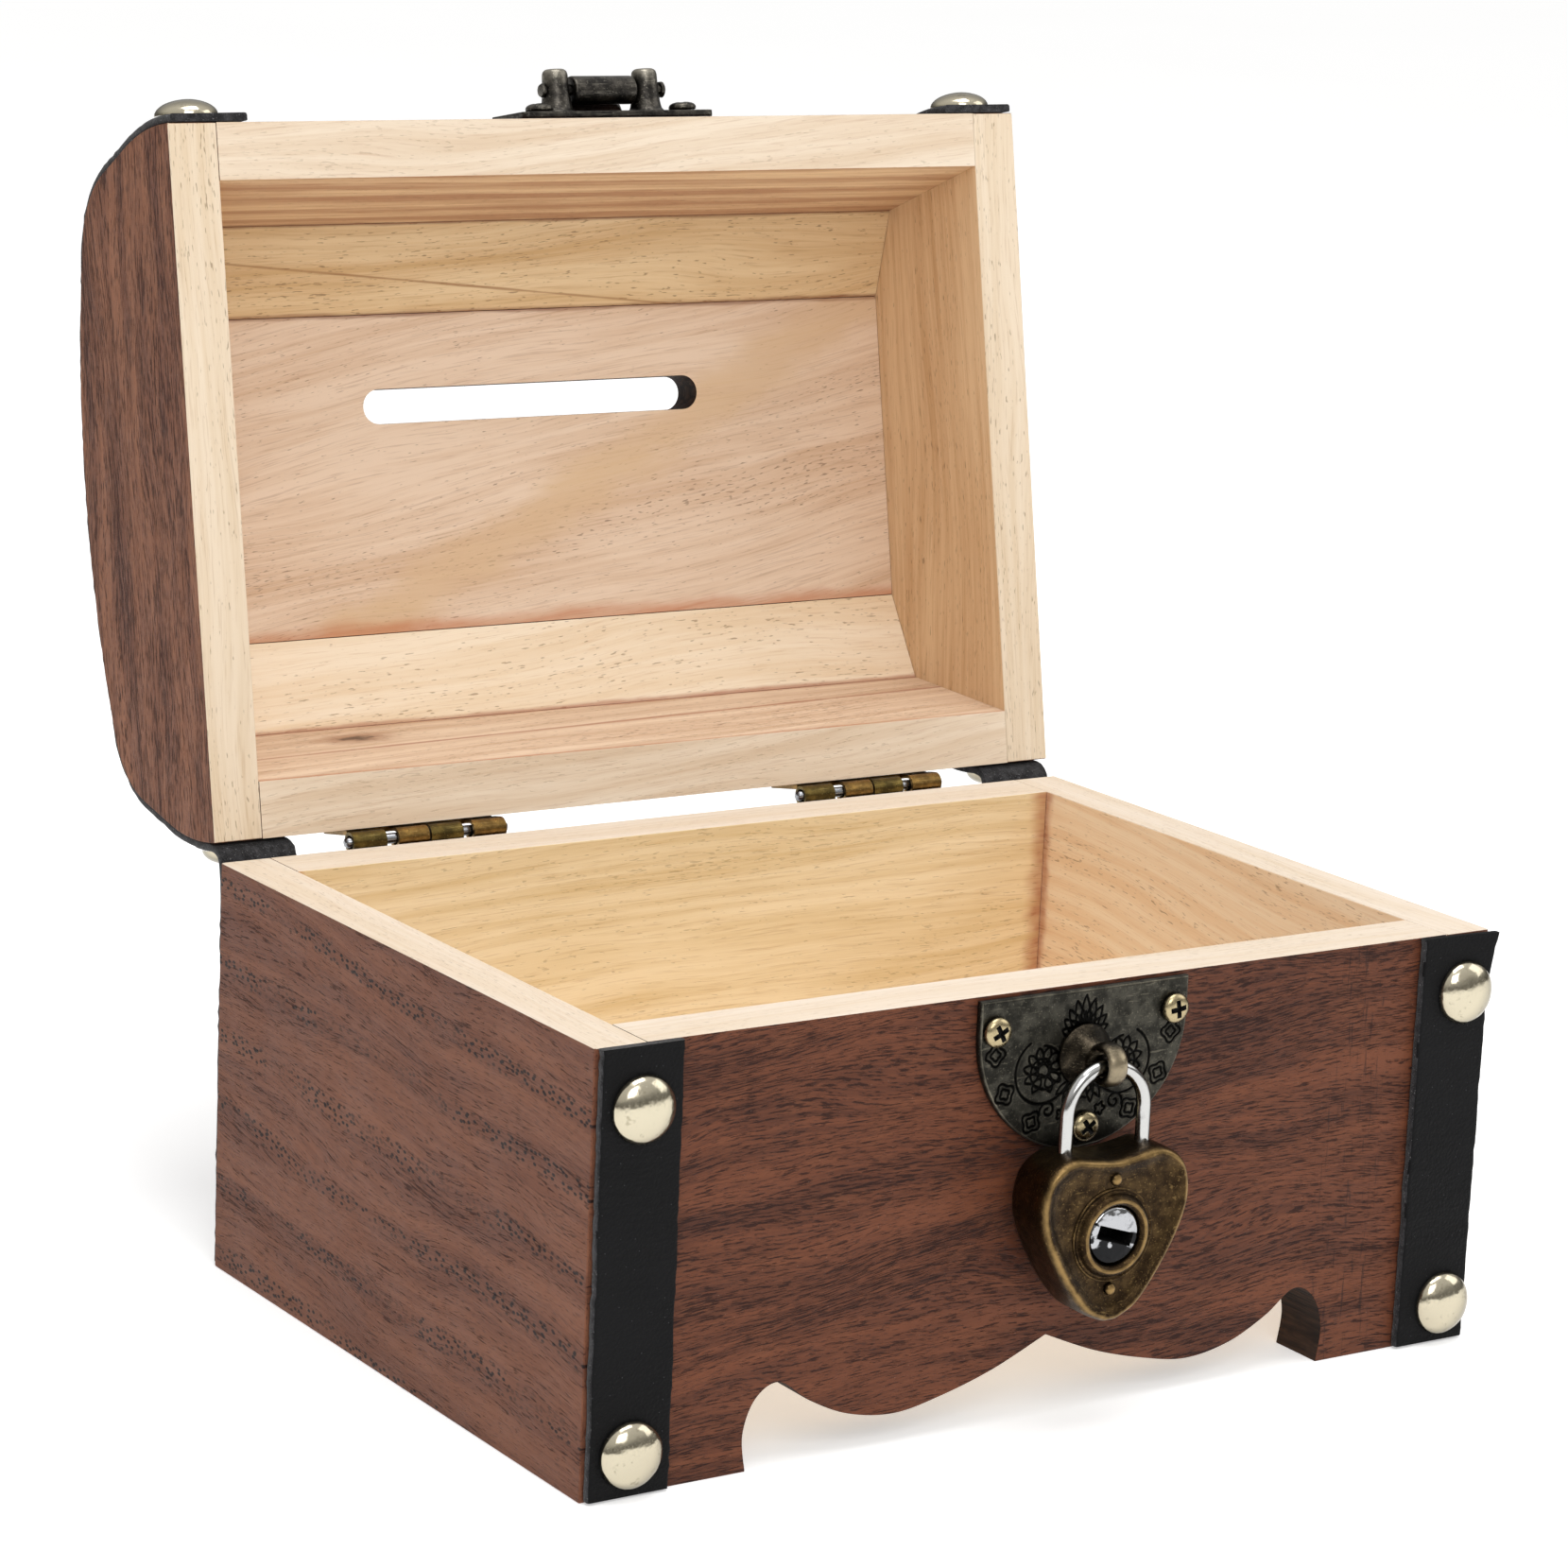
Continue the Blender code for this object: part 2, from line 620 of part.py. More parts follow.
# Leather straps
def make_straps(side, sign, leather, nail_metal, box, axis, panel, end):
    centre = sign * (BASE_WIDTH / 2 - STRAP_INSET - STRAP_WIDTH / 2)
    x = (centre - STRAP_WIDTH / 2, centre + STRAP_WIDTH / 2)
    near = GAP
    far = GAP + STRAP_THICKNESS
    height = (STRAP_FOOT, BASE_HEIGHT)
    front = block(x, (BASE_FRONT - far, BASE_FRONT - near), height)
    back = block(x, (BASE_BACK + near, BASE_BACK + far), height)
    path = barrel_path()
    band = offset(path, far) + list(reversed(offset(path, near)))
    straps = {
        "front": add_piece(f"{side}_strap_base_front", front, leather, box),
        "back": add_piece(f"{side}_strap_base_back", back, leather, box),
        "lid": add_piece(f"{side}_strap_lid", prism(band, "X", *x), leather, axis),
    }
    nail_x = centre + NAIL_OFF_CENTRE[side]
    seat = far + GAP
    nails = (
        ("base_front_top", "front", box, panel, BASE_FRONT - seat, NAIL_TOP_Z, TO_FRONT),
        ("base_front_foot", "front", box, panel, BASE_FRONT - seat, NAIL_FOOT_RISE, TO_FRONT),
        ("base_back_top", "back", box, panel, BASE_BACK + seat, NAIL_TOP_Z, TO_BACK),
        ("base_back_foot", "back", box, panel, BASE_BACK + seat, NAIL_FOOT_RISE, TO_BACK),
        ("lid_front", "lid", axis, end, LID_FRONT - seat, NAIL_LID_RISE, TO_FRONT),
        ("lid_back", "lid", axis, end, LID_BACK + seat, NAIL_LID_RISE, TO_BACK),
    )
    for name, strap, parent, wood, y, z, outward in nails:
        place = Matrix.Translation((nail_x, y, z)) @ outward
        size = (NAIL_RADIUS, NAIL_HEIGHT, NAIL_SHANK, NAIL_LENGTH)
        add_nail(f"{side}_{name}_nail", place, *size, nail_metal, parent)
        drill(straps[strap], place, NAIL_SHANK + HOLE_CLEARANCE, seat + GAP)
        drill(wood, place, NAIL_SHANK + HOLE_CLEARANCE, NAIL_LENGTH + GAP)


# Lock plate and staple
def plate_outline():
    """A straight top with short sides and a half-round below."""
    top = BASE_HEIGHT - PLATE_DROP
    round_height = PLATE_HEIGHT - PLATE_SHOULDER
    middle = top - PLATE_SHOULDER
    angles = [math.pi * i / 24 for i in range(25)]
    half = PLATE_WIDTH / 2
    low = [(HARDWARE_X + half * math.cos(a), middle - round_height * math.sin(a)) for a in angles]
    return [(HARDWARE_X - half, top), (HARDWARE_X + half, top)] + low


def make_lock_plate(metals, box, panel):
    near = BASE_FRONT - GAP
    shape = prism(plate_outline(), "Y", near - PLATE_THICKNESS, near)
    plate = add_piece("lock_plate", shape, metals["pewter"], box)
    ease_edges(plate, 0.3 * PLATE_THICKNESS)
    surface = near - PLATE_THICKNESS - GAP
    top = BASE_HEIGHT - PLATE_DROP
    low = top - PLATE_HEIGHT + PLATE_LOW_SCREW_RISE
    high = top - PLATE_SCREW_DROP
    spots = (
        ("left", -PLATE_SCREW_X, high, 28),
        ("right", PLATE_SCREW_X, high, 8),
        ("low", PLATE_LOW_SCREW_X, low, 35),
    )
    for name, x, z, turn in spots:
        place = Matrix.Translation((HARDWARE_X + x, surface, z)) @ TO_FRONT
        add_cross_screw(f"lock_plate_{name}_screw", place, metals["pale"], box, turn)
        drill(plate, place, SCREW_SHANK + HOLE_CLEARANCE, PLATE_THICKNESS + 2 * GAP)
        drill(panel, place, SCREW_SHANK + HOLE_CLEARANCE, SCREW_LENGTH + GAP)
    make_staple(surface, metals["pewter"], box, plate, panel)
    return surface


def make_staple(surface, metal, box, plate, panel):
    """A conical boss with an eye across it, for the shackle."""
    neck = (STAPLE_NECK_RADIUS, STAPLE_NECK_RISE)
    profile = [(0, -STAPLE_SHANK_LENGTH), (STAPLE_SHANK_RADIUS, -STAPLE_SHANK_LENGTH)]
    profile += [(STAPLE_SHANK_RADIUS, 0), (STAPLE_BASE_RADIUS, 0)]
    profile += [(0.95 * STAPLE_BASE_RADIUS, 0.15 * STAPLE_NECK_RISE), neck]
    profile += [(0.9 * STAPLE_NECK_RADIUS, STAPLE_EYE_RISE), (0, STAPLE_EYE_RISE)]
    staple = add_piece("staple", turned(profile, 20), metal, box)
    at_eye = Matrix.Translation((0, 0, STAPLE_EYE_RISE)) @ TO_SIDE
    half = STAPLE_EYE_THICKNESS / 2
    rim = 0.75 * STAPLE_EYE_RADIUS
    disc = [(0, -half), (rim, -half), (STAPLE_EYE_RADIUS, -0.5 * half), (STAPLE_EYE_RADIUS, 0.5 * half)]
    eye = turned(disc + [(rim, half), (0, half)], 20, at_eye)
    boolean(staple, add_tool("staple_eye", eye, staple), "UNION")
    hole = rod(STAPLE_HOLE_RADIUS, -2 * half, 2 * half, 16, at_eye)
    boolean(staple, add_tool("staple_hole", hole, staple), "DIFFERENCE")
    place = Matrix.Translation((HARDWARE_X, surface, STAPLE_Z)) @ TO_FRONT
    staple.matrix_local = place
    drill(plate, place, STAPLE_SHANK_RADIUS + HOLE_CLEARANCE, PLATE_THICKNESS + 2 * GAP)
    drill(panel, place, STAPLE_SHANK_RADIUS + HOLE_CLEARANCE, STAPLE_SHANK_LENGTH + GAP)


# Hasp
def make_hasp(metals, axis, rail):
    surface = LID_FRONT - GAP - HASP_PLATE_THICKNESS
    wide = (HARDWARE_X - HASP_WIDTH / 2, HARDWARE_X + HASP_WIDTH / 2)
    shape = block(wide, (surface, LID_FRONT - GAP), (HASP_PLATE_LOW, HASP_PLATE_HIGH))
    plate = add_piece("hasp_plate", shape, metals["iron"], axis)
    ease_edges(plate, 0.3 * HASP_PLATE_THICKNESS)
    centre = Vector((HARDWARE_X, surface, HASP_PIN_RISE))
    profile = [(0, -0.5 * HASP_PLATE_THICKNESS), (HASP_POST_RADIUS, -0.5 * HASP_PLATE_THICKNESS)]
    profile += [(HASP_POST_RADIUS, 0), (HASP_POST_TOP_RADIUS, 0.92 * HASP_POST_HEIGHT)]
    profile += [(0.8 * HASP_POST_TOP_RADIUS, HASP_POST_HEIGHT), (0, HASP_POST_HEIGHT)]
    posts = []
    for sign in (-1, 1):
        place = Matrix.Translation(centre + Vector((sign * HASP_POST_X, 0, 0))) @ TO_FRONT
        posts.append(turned(profile, 16, place))
    boolean(plate, add_tool("hasp_posts", join_shapes(posts), axis), "UNION")
    pin_at = centre - Vector((0, HASP_PIN_HEIGHT, 0))
    reach = HASP_POST_X + HASP_POST_RADIUS
    along_pin = Matrix.Translation(pin_at) @ TO_SIDE
    bore = rod(HASP_PIN_RADIUS + RUNNING, -2 * reach, 2 * reach, 12, along_pin)
    boolean(plate, add_tool("hasp_bore", bore, axis), "DIFFERENCE")
    profile = [(0, -reach), (HASP_PIN_RADIUS, -reach), (HASP_PIN_RADIUS, reach), (HASP_PIN_HEAD, reach)]
    profile += [(HASP_PIN_HEAD, reach + 0.5 * HASP_PIN_HEAD), (0, reach + 0.7 * HASP_PIN_HEAD)]
    pin = add_piece("hasp_pin", turned(profile, 12, TO_SIDE), metals["iron"], axis)
    pin.location = pin_at
    for name, sign, turn in (("left", -1, 20), ("right", 1, 50)):
        spot = Vector((HARDWARE_X + sign * HASP_SCREW_X, surface - GAP, HASP_SCREW_RISE))
        place = Matrix.Translation(spot) @ TO_FRONT
        add_cross_screw(f"hasp_{name}_screw", place, metals["iron"], axis, turn)
        drill(plate, place, SCREW_SHANK + HOLE_CLEARANCE, HASP_PLATE_THICKNESS + 2 * GAP)
        drill(rail, place, SCREW_SHANK + HOLE_CLEARANCE, SCREW_LENGTH + GAP)
    make_hasp_leaf(metals["iron"], axis, pin_at)


def make_hasp_leaf(metal, axis, pin_at):
    """The swinging leaf: modelled hanging down from its pin, then folded back over the lid."""
    folded = make_empty("hasp_pin_axis", axis, pin_at, -HASP_FOLDED_DEG)
    eye_drop = HINGE_AXIS.z + HASP_PIN_RISE - STAPLE_Z
    radius = HASP_EYE_RADIUS + HASP_EYE_RIM
    neck = HASP_LEAF_NECK / 2
    angles = [math.pi * i / 12 for i in range(13)]
    low = [(radius * math.cos(a), -eye_drop - radius * math.sin(a)) for a in angles]
    shoulder = -HASP_NECK_LENGTH - radius + neck
    outline = [(-neck, 0), (neck, 0), (neck, -HASP_NECK_LENGTH), (radius, shoulder)]
    outline += low + [(-radius, shoulder), (-neck, -HASP_NECK_LENGTH)]
    inner = PIN_TO_PLATE - GAP
    leaf = prism(outline, "Y", inner - HASP_LEAF_THICKNESS, inner)
    piece = add_piece("hasp_leaf", leaf, metal, folded)
    half = HASP_BARREL_LENGTH / 2
    barrel = rod(HASP_BARREL_RADIUS, -half, half, 20, TO_SIDE)
    boolean(piece, add_tool("hasp_barrel", barrel, folded), "UNION")
    bore = rod(HASP_PIN_RADIUS + RUNNING, -2 * half, 2 * half, 12, TO_SIDE)
    boolean(piece, add_tool("hasp_leaf_bore", bore, folded), "DIFFERENCE")
    at_eye = Matrix.Translation((0, 0, -eye_drop)) @ TO_FRONT
    eye = rod(HASP_EYE_RADIUS, -2 * radius, 2 * radius, 24, at_eye)
    boolean(piece, add_tool("hasp_eye", eye, folded), "DIFFERENCE")


# Padlock
def heart_path():
    """The heart's outline as (x, z) points round the plug, clockwise from the dip in its top."""
    right = [(0.28, 0.468), (0.60, 0.486), (0.89, 0.400), (1.00, 0.230), (0.94, 0.040)]
    right += [(0.71, -0.195), (0.39, -0.420), (0.13, -0.502)]
    shares = [(0, 0.452)] + right + [(0, -0.514)] + [(-x, z) for x, z in reversed(right)]
    points = [(x * LOCK_WIDTH / 2, z * LOCK_HEIGHT) for x, z in shares]
    return smooth_curve(points, 3, closed=True)


def swept(path, radius, segments):
    """A round wire along a path in the XZ plane."""
    rings = []
    for i, here in enumerate(path):
        along = (path[min(i + 1, len(path) - 1)] - path[max(i - 1, 0)]).normalized()
        side = Vector((-along.y, along.x))
        ring = []
        for k in range(segments):
            a = 2 * math.pi * k / segments
            spot = here + side * radius * math.cos(a)
            ring.append(Vector((spot.x, radius * math.sin(a), spot.y)))
        rings.append(ring)
    return loft(rings)


def make_shackle(metal, swing):
    half = SHACKLE_SPAN / 2
    top = Vector((0, -half))
    turns = [math.pi * i / 14 for i in range(15)]
    arc = [top + Vector((-math.cos(a), math.sin(a))) * half for a in turns]
    long_end = Vector((-half, -SHACKLE_RISE - SHACKLE_LONG_LEG))
    short_end = Vector((half, -SHACKLE_RISE - SHACKLE_SHORT_LEG))
    add_piece("padlock_shackle", swept([long_end, *arc, short_end], SHACKLE_RADIUS, 12), metal, swing)


def make_padlock_body(metals, swing):
    """A pressed case with a rolled rim, a sunken field and a collar round the plug."""
    path = heart_path()
    lobe_top = max(p.y for p in path)
    heart = make_empty("padlock_heart", swing, (0, 0, -SHACKLE_RISE - lobe_top))
    back = LOCK_THICKNESS / 2
    field = LOCK_FIELD_DEPTH - back
    steps = (
        (0.50 * LOCK_ROLL, back),
        (0.15 * LOCK_ROLL, 0.90 * back),
        (0, 0.70 * back),
        (0, -0.65 * back),
        (0.20 * LOCK_ROLL, -0.92 * back),
        (0.45 * LOCK_ROLL, -back),
        (0.75 * LOCK_ROLL, 0.7 * field - 0.3 * back),
        (LOCK_ROLL, field),
    )
    rings = [[Vector((p.x, y, p.y)) for p in offset(path, -inset, closed=True)] for inset, y in steps]
    body = add_piece("padlock_body", loft(rings), metals["brass"], heart)
    bore = PLUG_RADIUS + RUNNING
    inner = bore + COLLAR_LIP
    ring = [(0, -COLLAR_ROLL), (COLLAR_RADIUS, -COLLAR_ROLL), (COLLAR_RADIUS, 0.2 * COLLAR_ROLL)]
    ring += [(0.9 * COLLAR_RADIUS, 0.4 * COLLAR_ROLL), (inner + 0.9 * COLLAR_ROLL, 0.45 * COLLAR_ROLL)]
    ring += [(inner + 0.75 * COLLAR_ROLL, 0.9 * COLLAR_ROLL), (inner + 0.4 * COLLAR_ROLL, COLLAR_ROLL)]
    ring += [(inner, 0.7 * COLLAR_ROLL), (0, 0.7 * COLLAR_ROLL)]
    at_field = Matrix.Translation((0, field, 0)) @ TO_FRONT
    boolean(body, add_tool("padlock_collar", turned(ring, 28, at_field), heart), "UNION")
    face = 0.7 * COLLAR_ROLL - PLUG_PROUD
    drill(body, at_field, bore, PLUG_DEPTH - face + GAP, 2 * COLLAR_ROLL)
    for sign, depth in ((-1, SHACKLE_LONG_LEG), (1, SHACKLE_SHORT_LEG)):
        place = Matrix.Translation((sign * SHACKLE_SPAN / 2, 0, lobe_top))
        drill(body, place, SHACKLE_RADIUS + HOLE_CLEARANCE, depth + GAP)
    for name, z in (("upper", RIVET_UP), ("lower", -RIVET_DOWN)):
        place = Matrix.Translation((0, field - GAP, z)) @ TO_FRONT
        size = (RIVET_RADIUS, 0.7 * RIVET_RADIUS, RIVET_RADIUS / 2, LOCK_THICKNESS / 2)
        add_nail(f"padlock_{name}_rivet", place, *size, metals["brass"], heart, 10, 3)
        drill(body, place, RIVET_RADIUS / 2 + HOLE_CLEARANCE, LOCK_THICKNESS / 2 + GAP)
    make_plug(metals["nickel"], heart, at_field @ Matrix.Translation((0, 0, face)))


def make_plug(metal, heart, place):
    """The turning plug, with the keyway in its face."""
    profile = [(0, -PLUG_DEPTH), (PLUG_RADIUS, -PLUG_DEPTH), (PLUG_RADIUS, 0), (0, 0)]
    plug = add_piece("padlock_plug", turned(profile, 24), metal, heart)
    keyway = block(
        (-KEYWAY_LENGTH / 2, KEYWAY_LENGTH / 2),
        (-KEYWAY_WIDTH / 2, KEYWAY_WIDTH / 2),
        (-KEYWAY_DEPTH, KEYWAY_DEPTH),
    )
    boolean(plug, add_tool("keyway", keyway, plug), "DIFFERENCE")
    plug.matrix_local = place @ Matrix.Rotation(math.radians(-KEYWAY_TILT_DEG), 4, "Z")


def build():
    clear_scene()
    wood = make_material("walnut_stain", (0.115, 0.052, 0.032), 0.55)
    pale_wood = make_material("bare_wood", (0.60, 0.42, 0.26), 0.65)
    pink_wood = make_material("pink_wood", (0.55, 0.35, 0.24), 0.65)
    tan_wood = make_material("tan_wood", (0.50, 0.34, 0.17), 0.65)
    leather = make_material("black_leather", (0.012, 0.012, 0.013), 0.45)
    nickel_nail = make_material("pale_nickel", (0.72, 0.68, 0.58), 0.18, 1.0)
    metals = {
        "pewter": make_material("dark_pewter", (0.10, 0.09, 0.075), 0.42, 1.0),
        "iron": make_material("dark_iron", (0.09, 0.085, 0.08), 0.38, 1.0),
        "brass": make_material("antique_brass", (0.30, 0.20, 0.08), 0.35, 1.0),
        "steel": make_material("grey_steel", (0.45, 0.45, 0.45), 0.30, 1.0),
        "nickel": make_material("bright_nickel", (0.75, 0.75, 0.74), 0.15, 1.0),
        "pale": make_material("pale_brass", (0.62, 0.55, 0.38), 0.25, 1.0),
    }
    box = make_empty("money_box", location=(0, BASE_CENTRE_Y, 0))
    axis = make_empty("lid_hinge_axis", box, HINGE_AXIS, -LID_OPEN_DEG)
    panels = make_base(box, wood, pale_wood)
    ends, planks = make_lid(axis, wood, (wood, tan_wood, pink_wood, pale_wood, wood))
    for side, sign in (("left", -1), ("right", 1)):
        make_hinge(side, sign * HINGE_X, metals, box, axis, panels["back"], planks["back_rail"])
        make_straps(side, sign, leather, nickel_nail, box, axis, panels[side], ends[side])
    surface = make_lock_plate(metals, box, panels["front"])
    make_hasp(metals, axis, planks["front_rail"])
    hang = (HARDWARE_X, surface - STAPLE_EYE_RISE, STAPLE_Z - SHACKLE_HANG)
    swing = make_empty("padlock_swing_axis", box, hang)
    make_shackle(metals["nickel"], swing)
    make_padlock_body(metals, swing)
    cut_holes()


build()
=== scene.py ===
"""The looks of the wooden money box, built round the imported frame.

Metres, +Z up, front to -Y. Base pieces are modelled round the middle of the base's footprint, lid pieces
round the hinge axis with the lid shut, hardware round its own axis. Each piece's object carries that
frame's matrix, so its object coordinates run with the grain.
"""

import json
import math

import bmesh
import bpy
import numpy as np
from mathutils import Matrix, Vector, noise


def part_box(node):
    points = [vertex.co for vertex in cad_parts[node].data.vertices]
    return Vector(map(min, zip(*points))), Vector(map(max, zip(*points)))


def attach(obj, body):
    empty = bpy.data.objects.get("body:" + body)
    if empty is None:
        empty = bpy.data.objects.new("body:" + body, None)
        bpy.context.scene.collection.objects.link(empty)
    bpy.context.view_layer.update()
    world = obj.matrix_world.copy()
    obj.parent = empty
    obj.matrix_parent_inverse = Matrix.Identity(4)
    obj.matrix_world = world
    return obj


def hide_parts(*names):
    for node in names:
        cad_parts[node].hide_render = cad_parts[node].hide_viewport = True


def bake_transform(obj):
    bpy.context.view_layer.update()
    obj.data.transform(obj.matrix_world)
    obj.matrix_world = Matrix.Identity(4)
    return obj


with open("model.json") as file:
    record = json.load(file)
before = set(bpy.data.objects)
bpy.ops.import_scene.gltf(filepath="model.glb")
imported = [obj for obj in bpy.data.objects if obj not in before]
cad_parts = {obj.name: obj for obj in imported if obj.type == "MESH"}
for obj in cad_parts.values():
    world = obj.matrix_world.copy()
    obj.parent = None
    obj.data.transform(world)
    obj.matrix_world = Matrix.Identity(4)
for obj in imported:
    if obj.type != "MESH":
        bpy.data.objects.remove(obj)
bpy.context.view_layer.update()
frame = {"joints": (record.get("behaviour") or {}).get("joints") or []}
joints = {joint["name"]: joint for joint in frame["joints"]}

# Frames
side_low, side_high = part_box("base_left_panel")
front_low, front_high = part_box("base_front_panel")
BASE = Matrix.Translation((0, (side_low.y + side_high.y) / 2, 0))
HINGE = Vector(joints["lid_hinge"]["pos_m"])
OPEN = math.radians(joints["lid_hinge"]["range_deg"][1])
LID = Matrix.Translation(HINGE) @ Matrix.Rotation(-OPEN, 4, "X")

# Sizes that the frame's boxes give
WIDTH = 2 * abs(side_low.x)
DEPTH = side_high.y - side_low.y
HEIGHT = side_high.z
SIDE = side_high.x - side_low.x
FRONT_THICK = front_high.y - front_low.y
SETBACK = HINGE.y - BASE.translation.y - DEPTH / 2
RIM_GAP = HINGE.z - HEIGHT

# Sizes that match the part's source, apart from the two radii: the barrel's corners are drawn rounder here
GAP = 0.0002
JOINT = 0.00002  # between boards that are glued edge to edge
APRON_X = -0.0006
LID_DEPTH = DEPTH - 0.0020
LID_HEIGHT = 0.0368
LID_END = 0.0078
LID_RAIL = 0.0084
WALL_RISE = 0.0090
WALL_RADIUS = 0.036
SHOULDER_INSET = 0.0080
SHOULDER_DROP = 0.0068
SHOULDER_RADIUS = 0.0140
SLOPE_INSET = 0.0137
SLOPE_DROP = 0.0118
CEILING_INSET = 0.0275
CEILING_DROP = 0.0062
SLOT = (0.0006, 0.0105, 0.0610, 0.0054)
STRAP_WIDTH = 0.0124
STRAP_THICK = 0.0012
STRAP_X = WIDTH / 2 - 0.0005 - STRAP_WIDTH / 2
STRAP_FOOT = 0.0004
NAIL_RADIUS = 0.0047
NAIL_HEIGHT = 0.0024
HARDWARE_X = 0.0022
LID_BACK = -SETBACK
LID_FRONT = LID_BACK - LID_DEPTH
LID_MIDDLE = (LID_BACK + LID_FRONT) / 2

TO_FRONT = Matrix.Rotation(math.radians(90), 4, "X")
TO_BACK = Matrix.Rotation(math.radians(-90), 4, "X")
TO_SIDE = Matrix.Rotation(math.radians(90), 4, "Y")


# Shapes
def loft(rings, looped=False):
    """A skin over the rings, with flat ends, or joined end to end if it is looped."""
    shape = bmesh.new()
    made = [[shape.verts.new(point) for point in ring] for ring in rings]
    for low, high in zip(made, made[1:] + made[:1] if looped else made[1:]):
        for i in range(len(low)):
            j = (i + 1) % len(low)
            shape.faces.new((low[i], low[j], high[j], high[i]))
    if not looped:
        shape.faces.new(made[0])
        shape.faces.new(made[-1])
    return shape


def arc(x, y, radius, start_deg, sweep_deg, steps):
    angles = [math.radians(start_deg + sweep_deg * k / steps) for k in range(steps + 1)]
    return [(x + radius * math.cos(a), y + radius * math.sin(a)) for a in angles]


def ringed(section, count, squash=1.0):
    """A ring about Z whose section is a closed loop of (radius, z) pairs."""
    turns = [2 * math.pi * k / count for k in range(count)]
    return loft([[(r * math.cos(b) * squash, r * math.sin(b), z) for r, z in section] for b in turns], looped=True)


def prism(outline, axis, stations):
    """An outline of (x, z) or (y, z) pairs, run along Y or X through the stations."""
    if axis == "X":
        return loft([[Vector((at, a, b)) for a, b in outline] for at in stations])
    return loft([[Vector((a, at, b)) for a, b in outline] for at in stations])


def block(x, y, z):
    return prism(((x[0], z[0]), (x[1], z[0]), (x[1], z[1]), (x[0], z[1])), "Y", y)


def turned(profile, segments, place=Matrix.Identity(4)):
    """A solid turned about Z through (radius, z) pairs that start and end on the axis."""
    shape = bmesh.new()
    rings = []
    for radius, z in profile:
        if radius == 0:
            rings.append([shape.verts.new((0, 0, z))])
            continue
        angles = [2 * math.pi * i / segments for i in range(segments)]
        rings.append([shape.verts.new((radius * math.cos(a), radius * math.sin(a), z)) for a in angles])
    for low, high in zip(rings, rings[1:]):
        for i in range(segments):
            j = (i + 1) % segments
            corners = (low[i % len(low)], low[j % len(low)], high[j % len(high)], high[i % len(high)])
            shape.faces.new(list(dict.fromkeys(corners)))
    bmesh.ops.transform(shape, matrix=place, verts=shape.verts)
    return shape


def join(shapes):
    """One shape from several, each still its own shell."""
    joined = bmesh.new()
    for shape in shapes:
        bmesh.ops.recalc_face_normals(shape, faces=shape.faces)
        mesh = bpy.data.meshes.new("shell")
        shape.to_mesh(mesh)
        shape.free()
        joined.from_mesh(mesh)
        bpy.data.meshes.remove(mesh)
    return joined


def lefts(path):
    """The way to the left of the path, at each of its points."""
    ways = []
    for i in range(len(path)):
        along = (path[min(i + 1, len(path) - 1)] - path[max(i - 1, 0)]).normalized()
        ways.append(Vector((-along.y, along.x)))
    return ways


def swept(path, radius, segments):
    """A round wire along a path of (x, z) points in the XZ plane."""
    rings = []
    for here, side in zip(path, lefts(path)):
        ring = []
        for k in range(segments):
            a = 2 * math.pi * k / segments
            spot = here + side * radius * math.cos(a)
            ring.append(Vector((spot.x, radius * math.sin(a), spot.y)))
        rings.append(ring)
    return loft(rings)


def smooth_curve(points, steps, closed=False):
    """A curve through every point, in this many steps from each to the next."""
    count = len(points)
    curve = []
    for i in range(count if closed else count - 1):
        near = [(i + k) % count if closed else min(max(i + k, 0), count - 1) for k in (-1, 0, 1, 2)]
        p = [Vector(points[k]) for k in near]
        for step in range(steps):
            t = step / steps
            bend = 2 * p[0] - 5 * p[1] + 4 * p[2] - p[3]
            twist = 3 * p[1] - p[0] - 3 * p[2] + p[3]
            curve.append((2 * p[1] + (p[2] - p[0]) * t + bend * t * t + twist * t**3) / 2)
    if not closed:
        curve.append(Vector(points[-1]))
    return curve


def rounded(corners, steps):
    """An open path of (a, b, radius) corners, with an arc at each corner that has a radius."""
    path = []
    for i, (a, b, radius) in enumerate(corners):
        here = Vector((a, b))
        if radius == 0 or i in (0, len(corners) - 1):
            path.append(here)
            continue
        back = (Vector(corners[i - 1][:2]) - here).normalized()
        on = (Vector(corners[i + 1][:2]) - here).normalized()
        half = back.angle(on) / 2
        centre = here + (back + on).normalized() * (radius / math.sin(half))
        start = here + back * (radius / math.tan(half)) - centre
        sweep = start.angle_signed(here + on * (radius / math.tan(half)) - centre)
        for step in range(steps + 1):
            path.append(centre + Matrix.Rotation(-sweep * step / steps, 2) @ start)
    return path


def offset(path, distance, closed=False):
    """The path moved to its left by a distance."""
    moved = []
    count = len(path)
    for i, here in enumerate(path):
        before = path[i - 1] if closed or i else None
        after = path[(i + 1) % count] if closed or i < count - 1 else None
        normals = []
        for start, end in ((before, here), (here, after)):
            if start is not None and end is not None and (end - start).length > 1e-9:
                along = (end - start).normalized()
                normals.append(Vector((-along.y, along.x)))
        normal = sum(normals, Vector((0, 0))).normalized()
        moved.append(here + normal * (distance / normal.dot(normals[0])))
    return moved


def spaced(path, gap):
    """The path resampled to even steps of about this length."""
    lengths = [0.0]
    for start, end in zip(path, path[1:]):
        lengths.append(lengths[-1] + (end - start).length)
    count = max(2, round(lengths[-1] / gap))
    points = []
    i = 0
    for k in range(count + 1):
        at = lengths[-1] * k / count
        while i < len(path) - 2 and lengths[i + 1] < at:
            i += 1
        span = max(lengths[i + 1] - lengths[i], 1e-9)
        points.append(path[i].lerp(path[i + 1], min(1.0, (at - lengths[i]) / span)))
    return points


